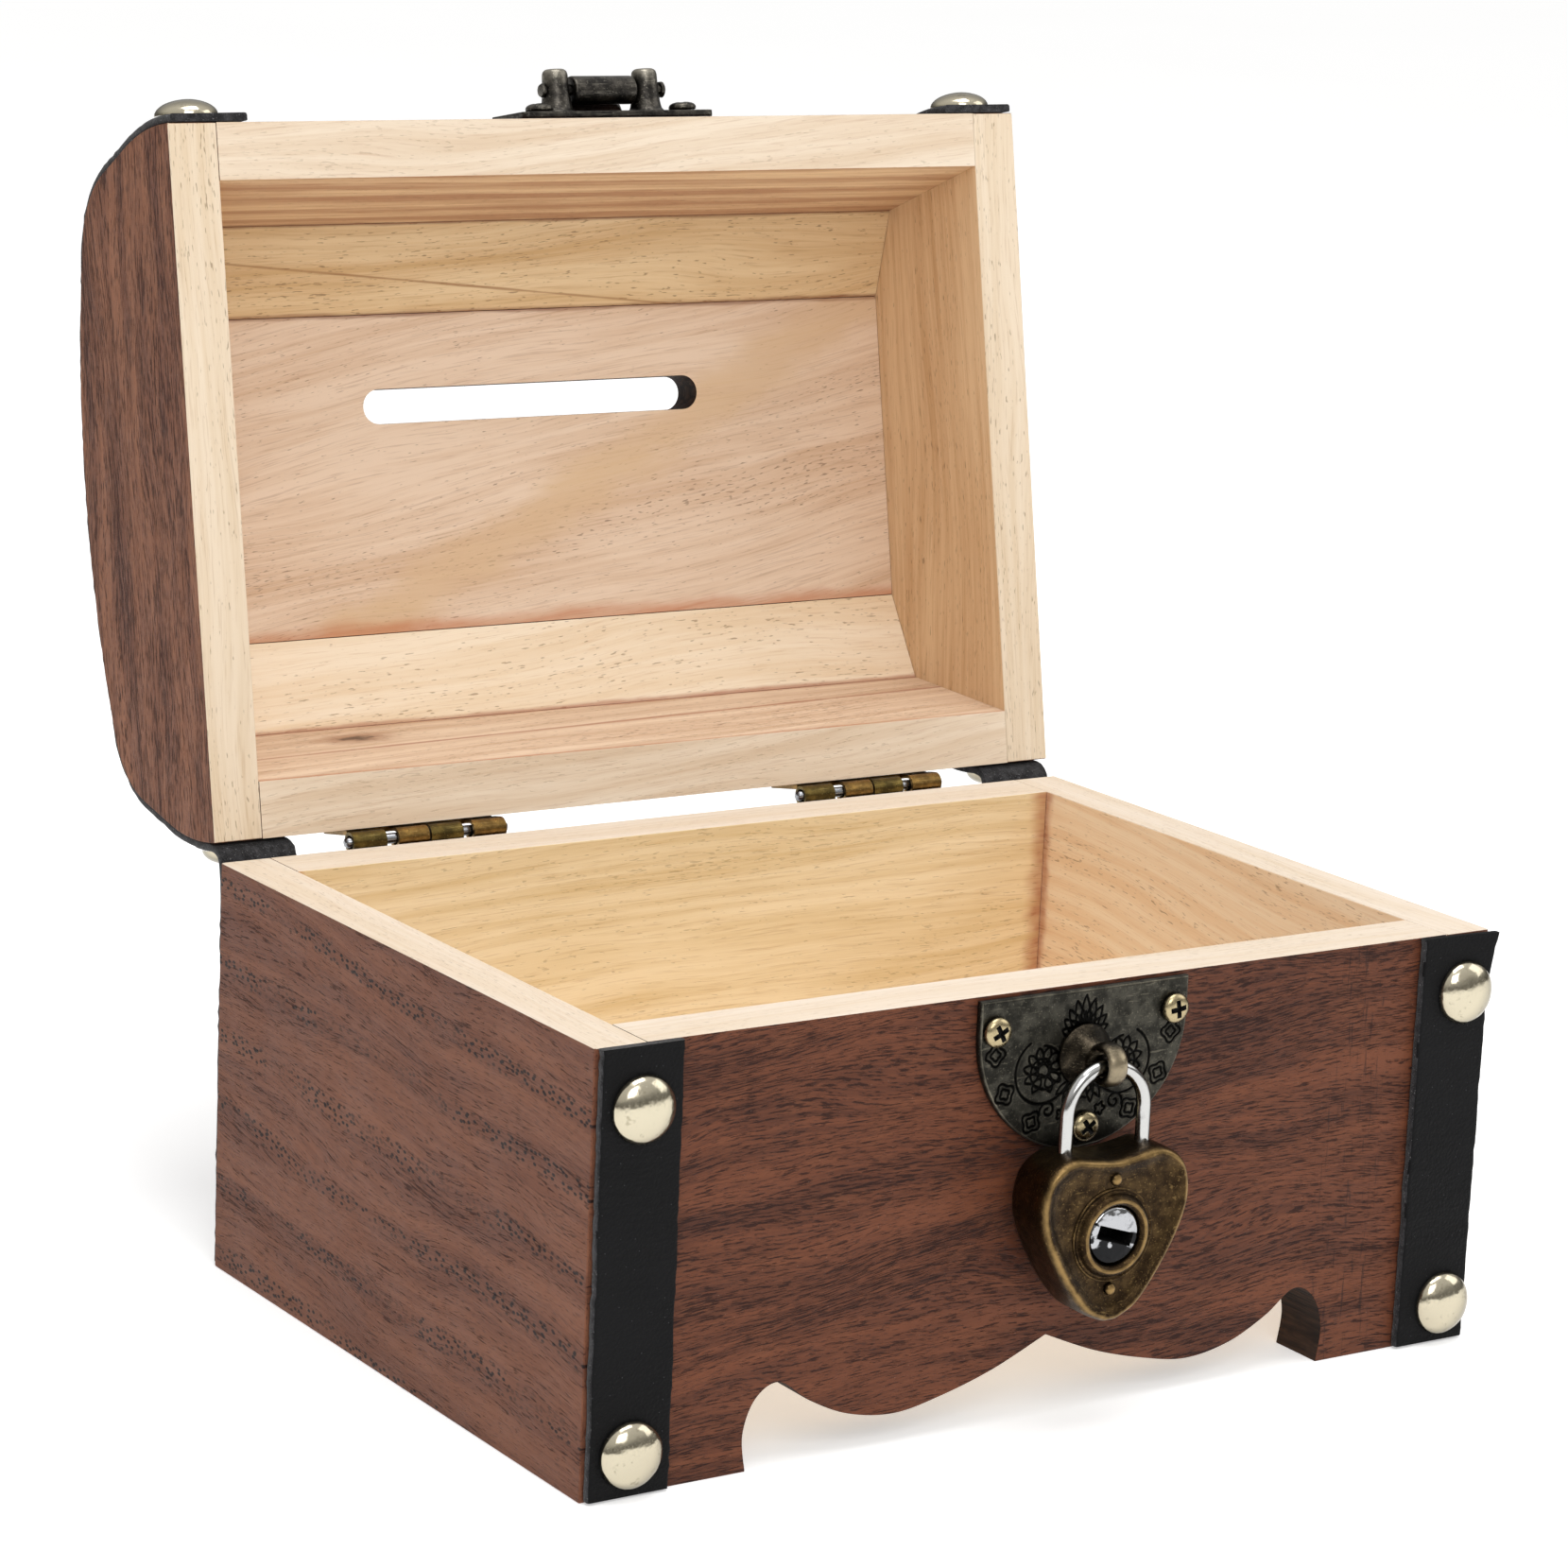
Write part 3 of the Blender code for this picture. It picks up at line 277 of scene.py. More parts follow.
def cut_by_line(outline, through, keep):
    """What is left of a closed outline on the side of a line that it keeps."""
    kept = []
    for i, here in enumerate(outline):
        before = outline[i - 1]
        a = (before - through).dot(keep)
        b = (here - through).dot(keep)
        if a * b < 0:
            kept.append(before.lerp(here, a / (a - b)))
        if b >= 0:
            kept.append(here)
    return kept


def add(name, shape, materials, body, place, replaced=(), slot=None, sharp_deg=35.0):
    """A visible piece that rides on a body and stands for the CAD nodes it replaces."""
    bmesh.ops.recalc_face_normals(shape, faces=shape.faces)
    mesh = bpy.data.meshes.new(name)
    shape.to_mesh(mesh)
    shape.free()
    for material in materials:
        mesh.materials.append(material)
    mesh.shade_smooth()
    mesh.set_sharp_from_angle(angle=math.radians(sharp_deg))
    piece = bpy.data.objects.new(name, mesh)
    bpy.context.scene.collection.objects.link(piece)
    piece.matrix_world = place
    if body:
        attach(piece, body)
    if replaced:
        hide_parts(*replaced)
    return piece


def paint(shape, rule):
    """Sets each face's material from its middle and its normal."""
    bmesh.ops.recalc_face_normals(shape, faces=shape.faces)
    for face in shape.faces:
        face.material_index = rule(face.calc_center_median(), face.normal)
    return shape


def bevel(piece, width, segments=3, angle=35):
    modifier = piece.modifiers.new("eased", "BEVEL")
    modifier.width = width
    modifier.segments = segments
    modifier.limit_method = "ANGLE"
    modifier.angle_limit = math.radians(angle)
    modifier.harden_normals = True


def settle(piece):
    """Applies the piece's modifiers to its mesh."""
    graph = bpy.context.evaluated_depsgraph_get()
    mesh = bpy.data.meshes.new_from_object(piece.evaluated_get(graph))
    piece.modifiers.clear()
    old = piece.data
    piece.data = mesh
    mesh.name = piece.name
    bpy.data.meshes.remove(old)


def cut(piece, cutter):
    """Cuts one shape from a piece. The cut faces take the cutter's material."""
    modifier = piece.modifiers.new("cut", "BOOLEAN")
    modifier.operation = "DIFFERENCE"
    modifier.object = cutter
    modifier.solver = "EXACT"
    modifier.material_mode = "TRANSFER"
    settle(piece)
    bpy.data.objects.remove(cutter, do_unlink=True)


def fuse(piece, size, smooth_steps):
    """Makes overlapping shells one cast body."""
    modifier = piece.modifiers.new("cast", "REMESH")
    modifier.mode = "VOXEL"
    modifier.voxel_size = size
    modifier.use_smooth_shade = True
    relax = piece.modifiers.new("relax", "SMOOTH")
    relax.factor = 0.5
    relax.iterations = smooth_steps
    settle(piece)


def set_attribute(piece, name, values):
    attribute = piece.data.attributes.new(name, "FLOAT", "POINT")
    attribute.data.foreach_set("value", np.asarray(values, np.float32))


# Shader graphs
def linear(colour):
    """Display red, green and blue out of 255, as scene-linear shares."""
    shares = [c / 255 for c in colour]
    return tuple(s / 12.92 if s <= 0.04045 else ((s + 0.055) / 1.055) ** 2.4 for s in shares)


def shade(colour, share):
    return [c * share for c in colour]


class Level:
    """A number that a graph works out, written so that its sums read as sums."""

    def __init__(self, graph, socket):
        self.graph = graph
        self.socket = socket

    def __add__(self, other):
        return self.graph.math("ADD", self, other)

    def __sub__(self, other):
        return self.graph.math("SUBTRACT", self, other)

    def __mul__(self, other):
        return self.graph.math("MULTIPLY", self, other)

    def __truediv__(self, other):
        return self.graph.math("DIVIDE", self, other)

    def __abs__(self):
        return self.graph.math("ABSOLUTE", self)


class Graph:
    """A material's nodes, made one call at a time, and the colour they have built up so far."""

    def __init__(self, name):
        self.material = bpy.data.materials.new(name)
        self.material.use_nodes = True
        self.tree = self.material.node_tree
        self.shader = self.tree.nodes["Principled BSDF"]
        coordinates = self.tree.nodes.new("ShaderNodeTexCoord").outputs["Object"]
        self.mm = self.vector("MULTIPLY", coordinates, (1000, 1000, 1000))
        self.colour = None

    def put(self, socket, value):
        if isinstance(value, Level):
            value = value.socket
        if isinstance(value, bpy.types.NodeSocket):
            self.tree.links.new(value, socket)
        elif isinstance(value, (tuple, list, Vector)) and socket.type == "RGBA" and len(value) == 3:
            socket.default_value = (*value, 1.0)
        else:
            socket.default_value = value

    def node(self, kind, values, **settings):
        """A node with these settings, whose first inputs take these values."""
        node = self.tree.nodes.new("ShaderNode" + kind)
        for name, setting in settings.items():
            setattr(node, name, setting)
        for socket, value in zip(node.inputs, values):
            self.put(socket, value)
        return node

    def math(self, operation, *values, clamp=False):
        return Level(self, self.node("Math", values, operation=operation, use_clamp=clamp).outputs[0])

    def vector(self, operation, *values):
        node = self.node("VectorMath", values, operation=operation)
        if operation in ("DOT_PRODUCT", "LENGTH"):
            return Level(self, node.outputs["Value"])
        return node.outputs["Vector"]

    def combine(self, x, y, z):
        return self.node("CombineXYZ", (x, y, z)).outputs[0]

    def texture(self, kind, vector, output, inputs, **settings):
        node = self.node(kind, (), **settings)
        for name, value in (("Vector", vector), ("Scale", 1.0), *inputs):
            self.put(node.inputs[name], value)
        return Level(self, node.outputs[output])

    def noise(self, vector, size, detail=2.0, roughness=0.5, seed=0.0):
        """Noise from 0 to 1 whose features are about this many millimetres along each axis."""
        scaled = self.vector("MULTIPLY", vector, tuple(1 / s for s in size))
        moved = self.vector("ADD", scaled, (seed, 1.7 * seed, 2.3 * seed))
        return self.texture("TexNoise", moved, "Fac", (("Detail", detail), ("Roughness", roughness)))

    def cells(self, vector, size, feature="F1", dimensions="3D"):
        """The distance to the middle of the nearest of many scattered cells."""
        scaled = self.vector("MULTIPLY", vector, tuple(1 / s for s in size))
        return self.texture("TexVoronoi", scaled, "Distance", (), voronoi_dimensions=dimensions, feature=feature)

    def between(self, value, low, high, to_low=0.0, to_high=1.0):
        """A smooth step of the value from one end to the other."""
        values = (value, low, high, to_low, to_high)
        return Level(self, self.node("MapRange", values, interpolation_type="SMOOTHSTEP").outputs["Result"])

    def mix(self, share, first, second):
        node = self.node("Mix", (share,), data_type="RGBA")
        self.put(node.inputs[6], first)
        self.put(node.inputs[7], second)
        return node.outputs[2]

    def blend(self, share, first, second):
        """Starts the colour: from the first to the second by this share."""
        self.colour = self.mix(share, linear(first), linear(second))

    def tint(self, share, colour):
        """Covers this share of the colour so far."""
        self.colour = self.mix(share, self.colour, linear(colour))

    def finish(self, roughness, height=None, depth=0.0, strength=1.0, metallic=0.0, specular=0.5, sheen=0.0):
        """Fills in the shader. The depth is how far the bump's height of 1 stands, in metres."""
        self.put(self.shader.inputs["Base Color"], self.colour)
        self.put(self.shader.inputs["Roughness"], roughness)
        self.put(self.shader.inputs["Metallic"], metallic)
        self.put(self.shader.inputs["Specular IOR Level"], specular)
        self.put(self.shader.inputs["Sheen Weight"], sheen)
        if height is not None:
            bump = self.node("Bump", ())
            for name, value in (("Height", height), ("Distance", depth), ("Strength", strength)):
                self.put(bump.inputs[name], value)
            self.put(self.shader.inputs["Normal"], bump.outputs[0])
        return self.material

    def board(self, grain, across, tilt_deg=0.0):
        """Millimetres along the grain, across it and into the board, and the second of them again."""
        grain = Vector(grain)
        across = Vector(across)
        turn = math.radians(tilt_deg)
        along = grain * math.cos(turn) + across * math.sin(turn)
        over = across * math.cos(turn) - grain * math.sin(turn)
        u, v, w = (self.vector("DOT_PRODUCT", self.mm, tuple(way)) for way in (along, over, along.cross(over)))
        return self.combine(u, v, w), v


def walnut(name, grain, across, seed, light=(109, 62, 40), deep=(74, 39, 25), pore=(34, 18, 16), amount=0.0,
           tilt=0.0, dust=0.3, scars=(), pinholes=0.0):
    """A reddish-brown stain over an open, dashed grain."""
    graph = Graph(name)
    board, v = graph.board(grain, across, tilt)
    wander = graph.noise(board, (48, 15, 15), 1.5, seed=seed) - 0.5
    shifted = graph.vector("ADD", board, graph.combine(0.0, wander * 10.0, 0.0))
    broad = graph.noise(shifted, (52, 5.5, 8), 3, 0.55, seed + 3)
    streak = graph.noise(shifted, (22, 0.9, 0.9), 4, 0.62, seed + 5)
    dashes = graph.noise(shifted, (3.0, 0.27, 0.27), 3, 0.62, seed + 7)
    fine = graph.noise(shifted, (1.5, 0.16, 0.16), 2, 0.5, seed + 11)
    hair = graph.noise(shifted, (9.0, 0.22, 0.22), 3, 0.6, seed + 17)
    mottle = graph.noise(board, (8, 4, 4), 3, 0.6, seed + 2)
    open_pores = graph.between(dashes + (broad - 0.5) * 0.30, 0.545 - amount, 0.66 - amount)
    small = graph.between(fine, 0.56, 0.70)
    graph.blend(graph.between(broad * 0.45 + streak * 0.35 + hair * 0.20, 0.38, 0.63), light, deep)
    graph.tint(graph.between(mottle, 0.5, 0.75, 0.0, 0.22), (126, 80, 56))
    graph.tint(small * 0.50, pore)
    graph.tint(open_pores * 0.80, pore)
    if pinholes:
        rows = abs(graph.math("SINE", (v / pinholes + wander * 0.5 + 0.48) * math.pi))
        row = graph.between(rows, 0.86, 0.97)
        hole = graph.between(graph.cells(board, (1.60, 0.90, 1.0), dimensions="2D"), 0.20, 0.32, 1.0, 0.0)
        patchy = graph.between(graph.noise(board, (16, 6, 6), 2, 0.5, seed + 23), 0.38, 0.50, 0.25, 1.0)
        graph.tint(row * 0.13, (70, 38, 28))
        graph.tint(row * hole * patchy * 0.95, (24, 12, 10))
    for near, far, seed_of in scars:
        spot = graph.vector("DOT_PRODUCT", graph.mm, X)
        window = graph.between(spot, near, near + 1.5) * graph.between(spot, far - 1.5, far, 1.0, 0.0)
        scratch = graph.noise(graph.mm, (0.55, 3.0, 7.0), 3, 0.6, seed_of)
        graph.tint(graph.between(scratch, 0.58, 0.68) * window * 0.6, pore)
    speck = graph.between(graph.cells(graph.mm, (1.7, 1.7, 1.7)), 0.0, 0.075, 1.0, 0.0)
    graph.tint(speck * dust, (172, 140, 122))
    height = open_pores * -1.0 + small * -0.4 + streak * 0.5
    rough = open_pores * 0.2 + graph.between(mottle, 0.3, 0.7, 0.50, 0.60)
    return graph.finish(rough, height, 0.00011, 0.85, specular=0.22)


def bare(name, grain, across, seed, light, dark, line, ring=3.0, waves=3.0, flecks=0.5, tilt=0.0,
         rings=0.5, stains=(), knots=(), stretch=1.0):
    """Unfinished sawn wood: growth rings, streaks and short dark flecks, with glue along its seams and knots."""
    graph = Graph(name)
    mm = graph.mm
    board, v = graph.board(grain, across, tilt)
    wander = graph.noise(board, (85 * stretch, 20, 20), 1.5, 0.5, seed)
    ripple = graph.noise(board, (14, 3.0, 3.0), 2, 0.5, seed + 1)
    wave = graph.math("SINE", (v / ring + wander * waves + ripple * 0.35) * (2 * math.pi))
    shifted = graph.vector("ADD", board, graph.combine(0.0, wander * 12.0, 0.0))
    streak = graph.noise(shifted, (46, 1.1, 1.1), 4, 0.62, seed + 5)
    broad = graph.noise(shifted, (70, 9, 9), 2, 0.5, seed + 9)
    fine = graph.noise(shifted, (7.0, 0.22, 0.22), 2, 0.55, seed + 7)
    dash = graph.noise(shifted, (1.7, 0.26, 0.26), 1.5, 0.5, seed + 13)
    share = graph.between(wave, -0.9, 1.0) * rings + graph.between(streak, 0.35, 0.70, 0.0, 0.55)
    graph.blend(graph.math("ADD", share, graph.between(broad, 0.35, 0.65, -0.18, 0.22), clamp=True), light, dark)
    graph.tint(graph.between(fine, 0.52, 0.72, 0.0, 0.30), line)
    pores = graph.between(dash + (broad - 0.5) * 0.25, 0.64, 0.73)
    graph.tint(pores * flecks, shade(line, 0.72))
    for point, normal, width, stain in stains:
        reach = graph.vector("DOT_PRODUCT", graph.vector("SUBTRACT", mm, point), tuple(Vector(normal).normalized()))
        ragged = (graph.noise(mm, (14, 6, 6), 3, 0.6, seed + 21) - 0.5) * 1.7
        mask = graph.between(abs(reach) + ragged * width, 0.15 * width, width * 1.1, 1.0, 0.0)
        graph.tint(mask * graph.between(streak, 0.2, 0.8, 0.85, 0.40), stain)
    for point, radius in knots:
        away = graph.vector("MULTIPLY", graph.vector("SUBTRACT", mm, point), (0.45, 1.0, 1.0))
        away = graph.vector("LENGTH", away) + graph.noise(mm, (2.5, 1.2, 1.2), 3, 0.6, seed + 25) * radius
        graph.tint(graph.between(away, radius, 2.4 * radius, 0.7, 0.0), line)
        graph.tint(graph.between(away, 0.7 * radius, 1.25 * radius, 0.85, 0.0), shade(line, 0.5))
    rough = graph.between(streak, 0.3, 0.7, 0.56, 0.68)
    return graph.finish(rough, pores * -1.0 + fine * 0.6, 0.00006, 0.6, specular=0.3)


def end_dark(name, seed):
    """A sawn edge, soaked with stain."""
    graph = Graph(name)
    board = graph.board(Y, X)[0]
    saw = graph.noise(board, (12, 0.35, 1.2), 3, 0.6, seed)
    patch = graph.noise(board, (3, 2, 2), 3, 0.6, seed + 4)
    graph.blend(graph.between(saw, 0.35, 0.7), (28, 18, 14), (64, 44, 32))
    graph.tint(graph.between(patch, 0.45, 0.7, 0.0, 0.5), (30, 21, 18))
    return graph.finish(0.75, saw, 0.00025, 0.8, specular=0.25)


def pitch(name, seed):
    """Painted shade for the unlit bottom of a slot: near black, with a little grime."""
    graph = Graph(name)
    grime = graph.noise(graph.mm, (0.5, 0.5, 0.5), 3, 0.6, seed)
    graph.blend(graph.between(grime, 0.5, 0.75), (9, 8, 8), (34, 30, 26))
    return graph.finish(0.7, grime, 0.0001, 0.8, specular=0.2)


def leather(name):
    """Black coated leather: fine pebbles, faint creases and a little dust."""
    graph = Graph(name)
    mm = graph.mm
    wobble = graph.noise(mm, (1.1, 1.1, 1.1), 2, 0.5, 4.0)
    warped = graph.vector("ADD", mm, graph.combine(wobble, wobble, wobble))
    pebble = graph.cells(warped, (0.42, 0.42, 0.42), "SMOOTH_F1")
    crease = graph.noise(mm, (5.5, 5.5, 1.1), 3, 0.6, 8.0)
    broad = graph.noise(mm, (14, 14, 14), 3, 0.55, 2.0)
    dust = graph.between(graph.cells(mm, (1.1, 1.1, 1.1)), 0.0, 0.085, 1.0, 0.0)
    graph.blend(graph.between(broad, 0.35, 0.7), (11, 11, 12), (19, 19, 20))
    graph.tint(dust * 0.55, (118, 118, 122))
    rough = graph.between(broad, 0.3, 0.7, 0.58, 0.72)
    return graph.finish(rough, pebble * 0.7 + crease * 0.8, 0.00018, 0.9, specular=0.12)


def cut_leather(name):
    """The cut edge and the fuzzy underside: grey fibres with pale flecks."""
    graph = Graph(name)
    fibre = graph.noise(graph.mm, (0.28, 0.28, 0.28), 4, 0.7, 5.0)
    clump = graph.noise(graph.mm, (1.3, 1.3, 1.3), 3, 0.6, 9.0)
    graph.blend(graph.between(clump, 0.38, 0.66), (20, 19, 21), (50, 49, 51))
    graph.tint(graph.between(fibre, 0.60, 0.72, 0.0, 0.65), (176, 174, 176))
    return graph.finish(0.9, fibre, 0.0002, 0.9, specular=0.2, sheen=0.2)


def bright_metal(name, colour, roughness, dents=0.00006, tarnish_and_rim_shade=(120, 108, 84), spots=0.25, painted_rim_shade=0.0,
                 shadow=None):
    """Plated metal with shallow dents and a few dull spots, with painted shade where it turns from view and a
    painted shadow near a dark thing.
    """
    graph = Graph(name)
    mm = graph.mm
    dent = graph.noise(mm, (2.6, 2.6, 2.6), 2, 0.5, 3.0)
    grit = graph.noise(mm, (0.35, 0.35, 0.35), 3, 0.6, 6.0)
    blotch = graph.noise(mm, (1.6, 1.6, 1.6), 4, 0.65, 12.0)
    graph.blend(graph.between(blotch, 0.58, 0.74, 0.0, spots), colour, tarnish_and_rim_shade)
    if painted_rim_shade:
        # Painted shade: darker towards the rims, where the surface turns away from view.
        facing = graph.node("LayerWeight", ()).outputs["Facing"]
        graph.tint(graph.between(facing, 0.30, 0.70, 0.0, painted_rim_shade), shade(tarnish_and_rim_shade, 0.28))
    if shadow:
        # Painted shadow: near black along one side, where a dark thing stands near.
        fall = graph.vector("DOT_PRODUCT", mm, shadow)
        patch = graph.noise(mm, (1.9, 1.3, 1.9), 1.5, 0.5, 31.0) + fall
        graph.tint(graph.between(patch, 0.47, 0.54, 0.0, 0.97), (14, 14, 15))
    return graph.finish(graph.between(grit, 0.4, 0.8, 0.0, 0.16) + roughness, dent, dents, metallic=1.0)


def old_metal(name, dark, mid, high, roughness, attribute=None, pits=1.0):
    """Antiqued metal: dark in the hollows, rubbed bright on what stands proud."""
    graph = Graph(name)
    mm = graph.mm
    cloud = graph.noise(mm, (2.2, 2.2, 2.2), 4, 0.62, 2.0)
    grit = graph.noise(mm, (0.30, 0.30, 0.30), 3, 0.65, 7.0)
    scratch = graph.noise(mm, (4.0, 0.18, 0.6), 2, 0.5, 15.0)
    graph.blend(graph.between(cloud, 0.36, 0.66), dark, mid)
    graph.tint(graph.between(grit, 0.58, 0.74, 0.0, 0.5), high)
    graph.tint(graph.between(scratch, 0.62, 0.72, 0.0, 0.3), high)
    if attribute:
        worn = Level(graph, graph.node("Attribute", (), attribute_name=attribute).outputs["Fac"])
        graph.tint(graph.between(worn + (cloud - 0.5) * 0.35, 0.55, 0.95, 0.0, 0.9), high)
        graph.tint(graph.between(worn, 0.44, 0.12, 0.0, 0.96), shade(dark, 0.16))
    rough = graph.between(cloud, 0.3, 0.7, roughness + 0.1, roughness - 0.03)
    return graph.finish(rough, grit + cloud * 1.5, 0.00004 * pits, 0.8, metallic=1.0)


X, Y, Z = (1, 0, 0), (0, 1, 0), (0, 0, 1)
GLUE = (176, 106, 66)
DARK_GLUE = (128, 74, 48)

walnut_front = walnut("walnut_front", X, Z, 1.0, amount=0.025, tilt=1.5, scars=((46.0, 58.0, 3.0),))
walnut_side = walnut("walnut_side", Y, Z, 14.0, (124, 79, 57), (98, 58, 42), (52, 31, 26), -0.030, 3.0, 0.5,
                     pinholes=11.0)
walnut_end = walnut("walnut_end", Y, Z, 27.0, (142, 93, 66), (104, 63, 45), (54, 32, 27), 0.035, 0.0, 0.6)
walnut_lid = walnut("walnut_lid", X, Y, 33.0, amount=0.015)
sawn = end_dark("apron_edge", 3.0)

RIM = dict(light=(231, 217, 200), dark=(221, 202, 177), line=(194, 162, 132))
LID_RIM = dict(light=(226, 210, 189), dark=(212, 190, 164), line=(180, 144, 116))
rim_x = bare("rim_along", X, Y, 2.0, ring=9.0, waves=1.5, flecks=0.25, rings=0.25, **RIM)
rim_y = bare("rim_deep", Y, X, 5.0, ring=7.0, waves=1.2, flecks=0.35, rings=0.25, **RIM)
lid_rim_x = bare("lid_rim_along", X, Y, 8.0, ring=5.0, waves=2.6, flecks=0.22, rings=0.45, tilt=-4.0, **LID_RIM)
lid_rim_y = bare("lid_rim_deep", Y, X, 11.0, ring=4.5, waves=0.8, flecks=0.6, rings=0.25,
                 light=(224, 207, 184), dark=(210, 188, 158), line=(172, 140, 102))


# Base
def apron_outline():
    half = WIDTH / 2 - SIDE - JOINT
    foot, waist, arch_x, arch, valley, low, peak = 0.0487, 0.0006, 0.0438, 0.0118, 0.0250, 0.0043, 0.0117
    right = [(foot, 0), (foot + waist, 0.45 * arch), (foot - 2 * waist, 0.85 * arch), (arch_x, arch)]
    right += [((arch_x + 0.7 * foot) / 2, 0.72 * arch), (valley + 0.0075, low + 0.0012), (valley, low)]
    right += [(valley - 0.0075, low + 0.0012), (0.35 * valley, (low + peak) / 2), (0, peak)]
    curve = smooth_curve(right, 9)
    sawn_line = [(APRON_X + x, z) for x, z in curve] + [(APRON_X - x, z) for x, z in reversed(curve[:-1])]
    return [(-half, 0), (-half, HEIGHT), (half, HEIGHT), (half, 0)] + sawn_line


def build_base():
    half = WIDTH / 2 - SIDE
    back_inside = DEPTH / 2 - FRONT_THICK
    corner_right = ((half * 1000, 0, 0), X, 3.4, GLUE)
    corner_left = ((-half * 1000, 0, 0), X, 1.2, GLUE)
    in_back = bare("inside_back", X, Z, 3.0, (245, 226, 190), (224, 198, 150), (184, 146, 96), ring=5.5,
                   waves=4.2, flecks=0.3, rings=0.32, stains=(corner_right, corner_left))
    in_front = bare("inside_front", X, Z, 6.0, (240, 220, 184), (222, 194, 150), (186, 150, 106), waves=3.5)
    seam = ((0, back_inside * 1000, 0), Y, 2.2, GLUE)
    in_right = bare("inside_right", Y, Z, 9.0, (250, 232, 208), (240, 212, 180), (212, 172, 136), ring=4.0,
                    waves=3.0, flecks=0.6, rings=0.45, stains=(seam,), tilt=4)
    in_left = bare("inside_left", Y, Z, 12.0, (246, 228, 200), (232, 206, 172), (202, 168, 132), waves=3.0)
    board = bare("floor_board", X, Y, 15.0, (238, 216, 178), (218, 188, 144), (180, 144, 100), ring=6.0, waves=4.0)
    for side, sign, inside in (("left", -1, in_left), ("right", 1, in_right)):
        x = sorted((sign * WIDTH / 2, sign * half))
        shape = block(x, (-DEPTH / 2, DEPTH / 2), (0, HEIGHT))

        def rule(middle, normal, sign=sign):
            if normal.z > 0.5:
                return 1
            return 2 if normal.x * sign < -0.5 else 0

        name = f"base_{side}_panel"
        panel = add(f"{side}_side_board", paint(shape, rule), (walnut_side, rim_y, inside), "box", BASE,
                    (name,), "walnut_stain")
        bevel(panel, 0.00022)

    def front_rule(middle, normal):
        if normal.z > 0.9 and middle.z > 0.9 * HEIGHT:
            return 1
        if abs(normal.y) > 0.9:
            return 0 if normal.y < 0 else 2
        return 3

    shape = prism(apron_outline(), "Y", (-DEPTH / 2, -DEPTH / 2 + FRONT_THICK))
    panel = add("front_board", paint(shape, front_rule), (walnut_front, rim_x, in_front, sawn), "box", BASE,
                ("base_front_panel",), "walnut_stain")
    bevel(panel, 0.00016, 2, 60)

    def back_rule(middle, normal):
        if normal.z > 0.9:
            return 1
        return 2 if normal.y < -0.5 else 0

    shape = block((-half + JOINT, half - JOINT), (back_inside, DEPTH / 2), (0, HEIGHT))
    panel = add("back_board", paint(shape, back_rule), (walnut_front, rim_x, in_back), "box", BASE,
                ("base_back_panel",), "walnut_stain")
    bevel(panel, 0.00016, 2, 60)
    low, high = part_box("base_floor_board")
    reach = back_inside - GAP
    shape = block((-half + GAP, half - GAP), (-reach, reach), (low.z, high.z))
    bevel(add("floor_of_box", shape, (board,), "box", BASE, ("base_floor_board",), "bare_wood"), 0.0003, 2)


# Lid
def barrel_path():
    """The lid's outside: walls, rounded shoulders, and a crown on one arc between the shoulders."""
    count = 48
    skip = 4  # the crown's first and last steps, where the shoulders' arcs already turn
    half = LID_DEPTH / 2
    shoulder = half - SHOULDER_INSET
    radius = (shoulder**2 + SHOULDER_DROP**2) / (2 * SHOULDER_DROP)
    reach = math.asin(shoulder / radius)
    front = [(-half, 0, 0), (-half, WALL_RISE, WALL_RADIUS)]
    front.append((-shoulder, LID_HEIGHT - SHOULDER_DROP, SHOULDER_RADIUS))
    angles = [-reach + 2 * reach * i / count for i in range(skip, count - skip + 1)]
    crown = [(radius * math.sin(a), LID_HEIGHT - radius * (1 - math.cos(a)), 0) for a in angles]
    back = [(-a, b, r) for a, b, r in reversed(front)]
    return [Vector((LID_MIDDLE + p.x, p.y)) for p in rounded(front + crown + back, 14)]


def ceiling_path():
    """The lid's inside: five flat faces, from the front rim to the back rim."""
    half = LID_DEPTH / 2
    front = [(LID_RAIL, 0), (SLOPE_INSET, LID_HEIGHT - SLOPE_DROP), (CEILING_INSET, LID_HEIGHT - CEILING_DROP)]
    path = [(inset - half, rise) for inset, rise in front]
    path += [(half - inset, rise) for inset, rise in reversed(front)]
    return [Vector((LID_MIDDLE + y, z)) for y, z in path]


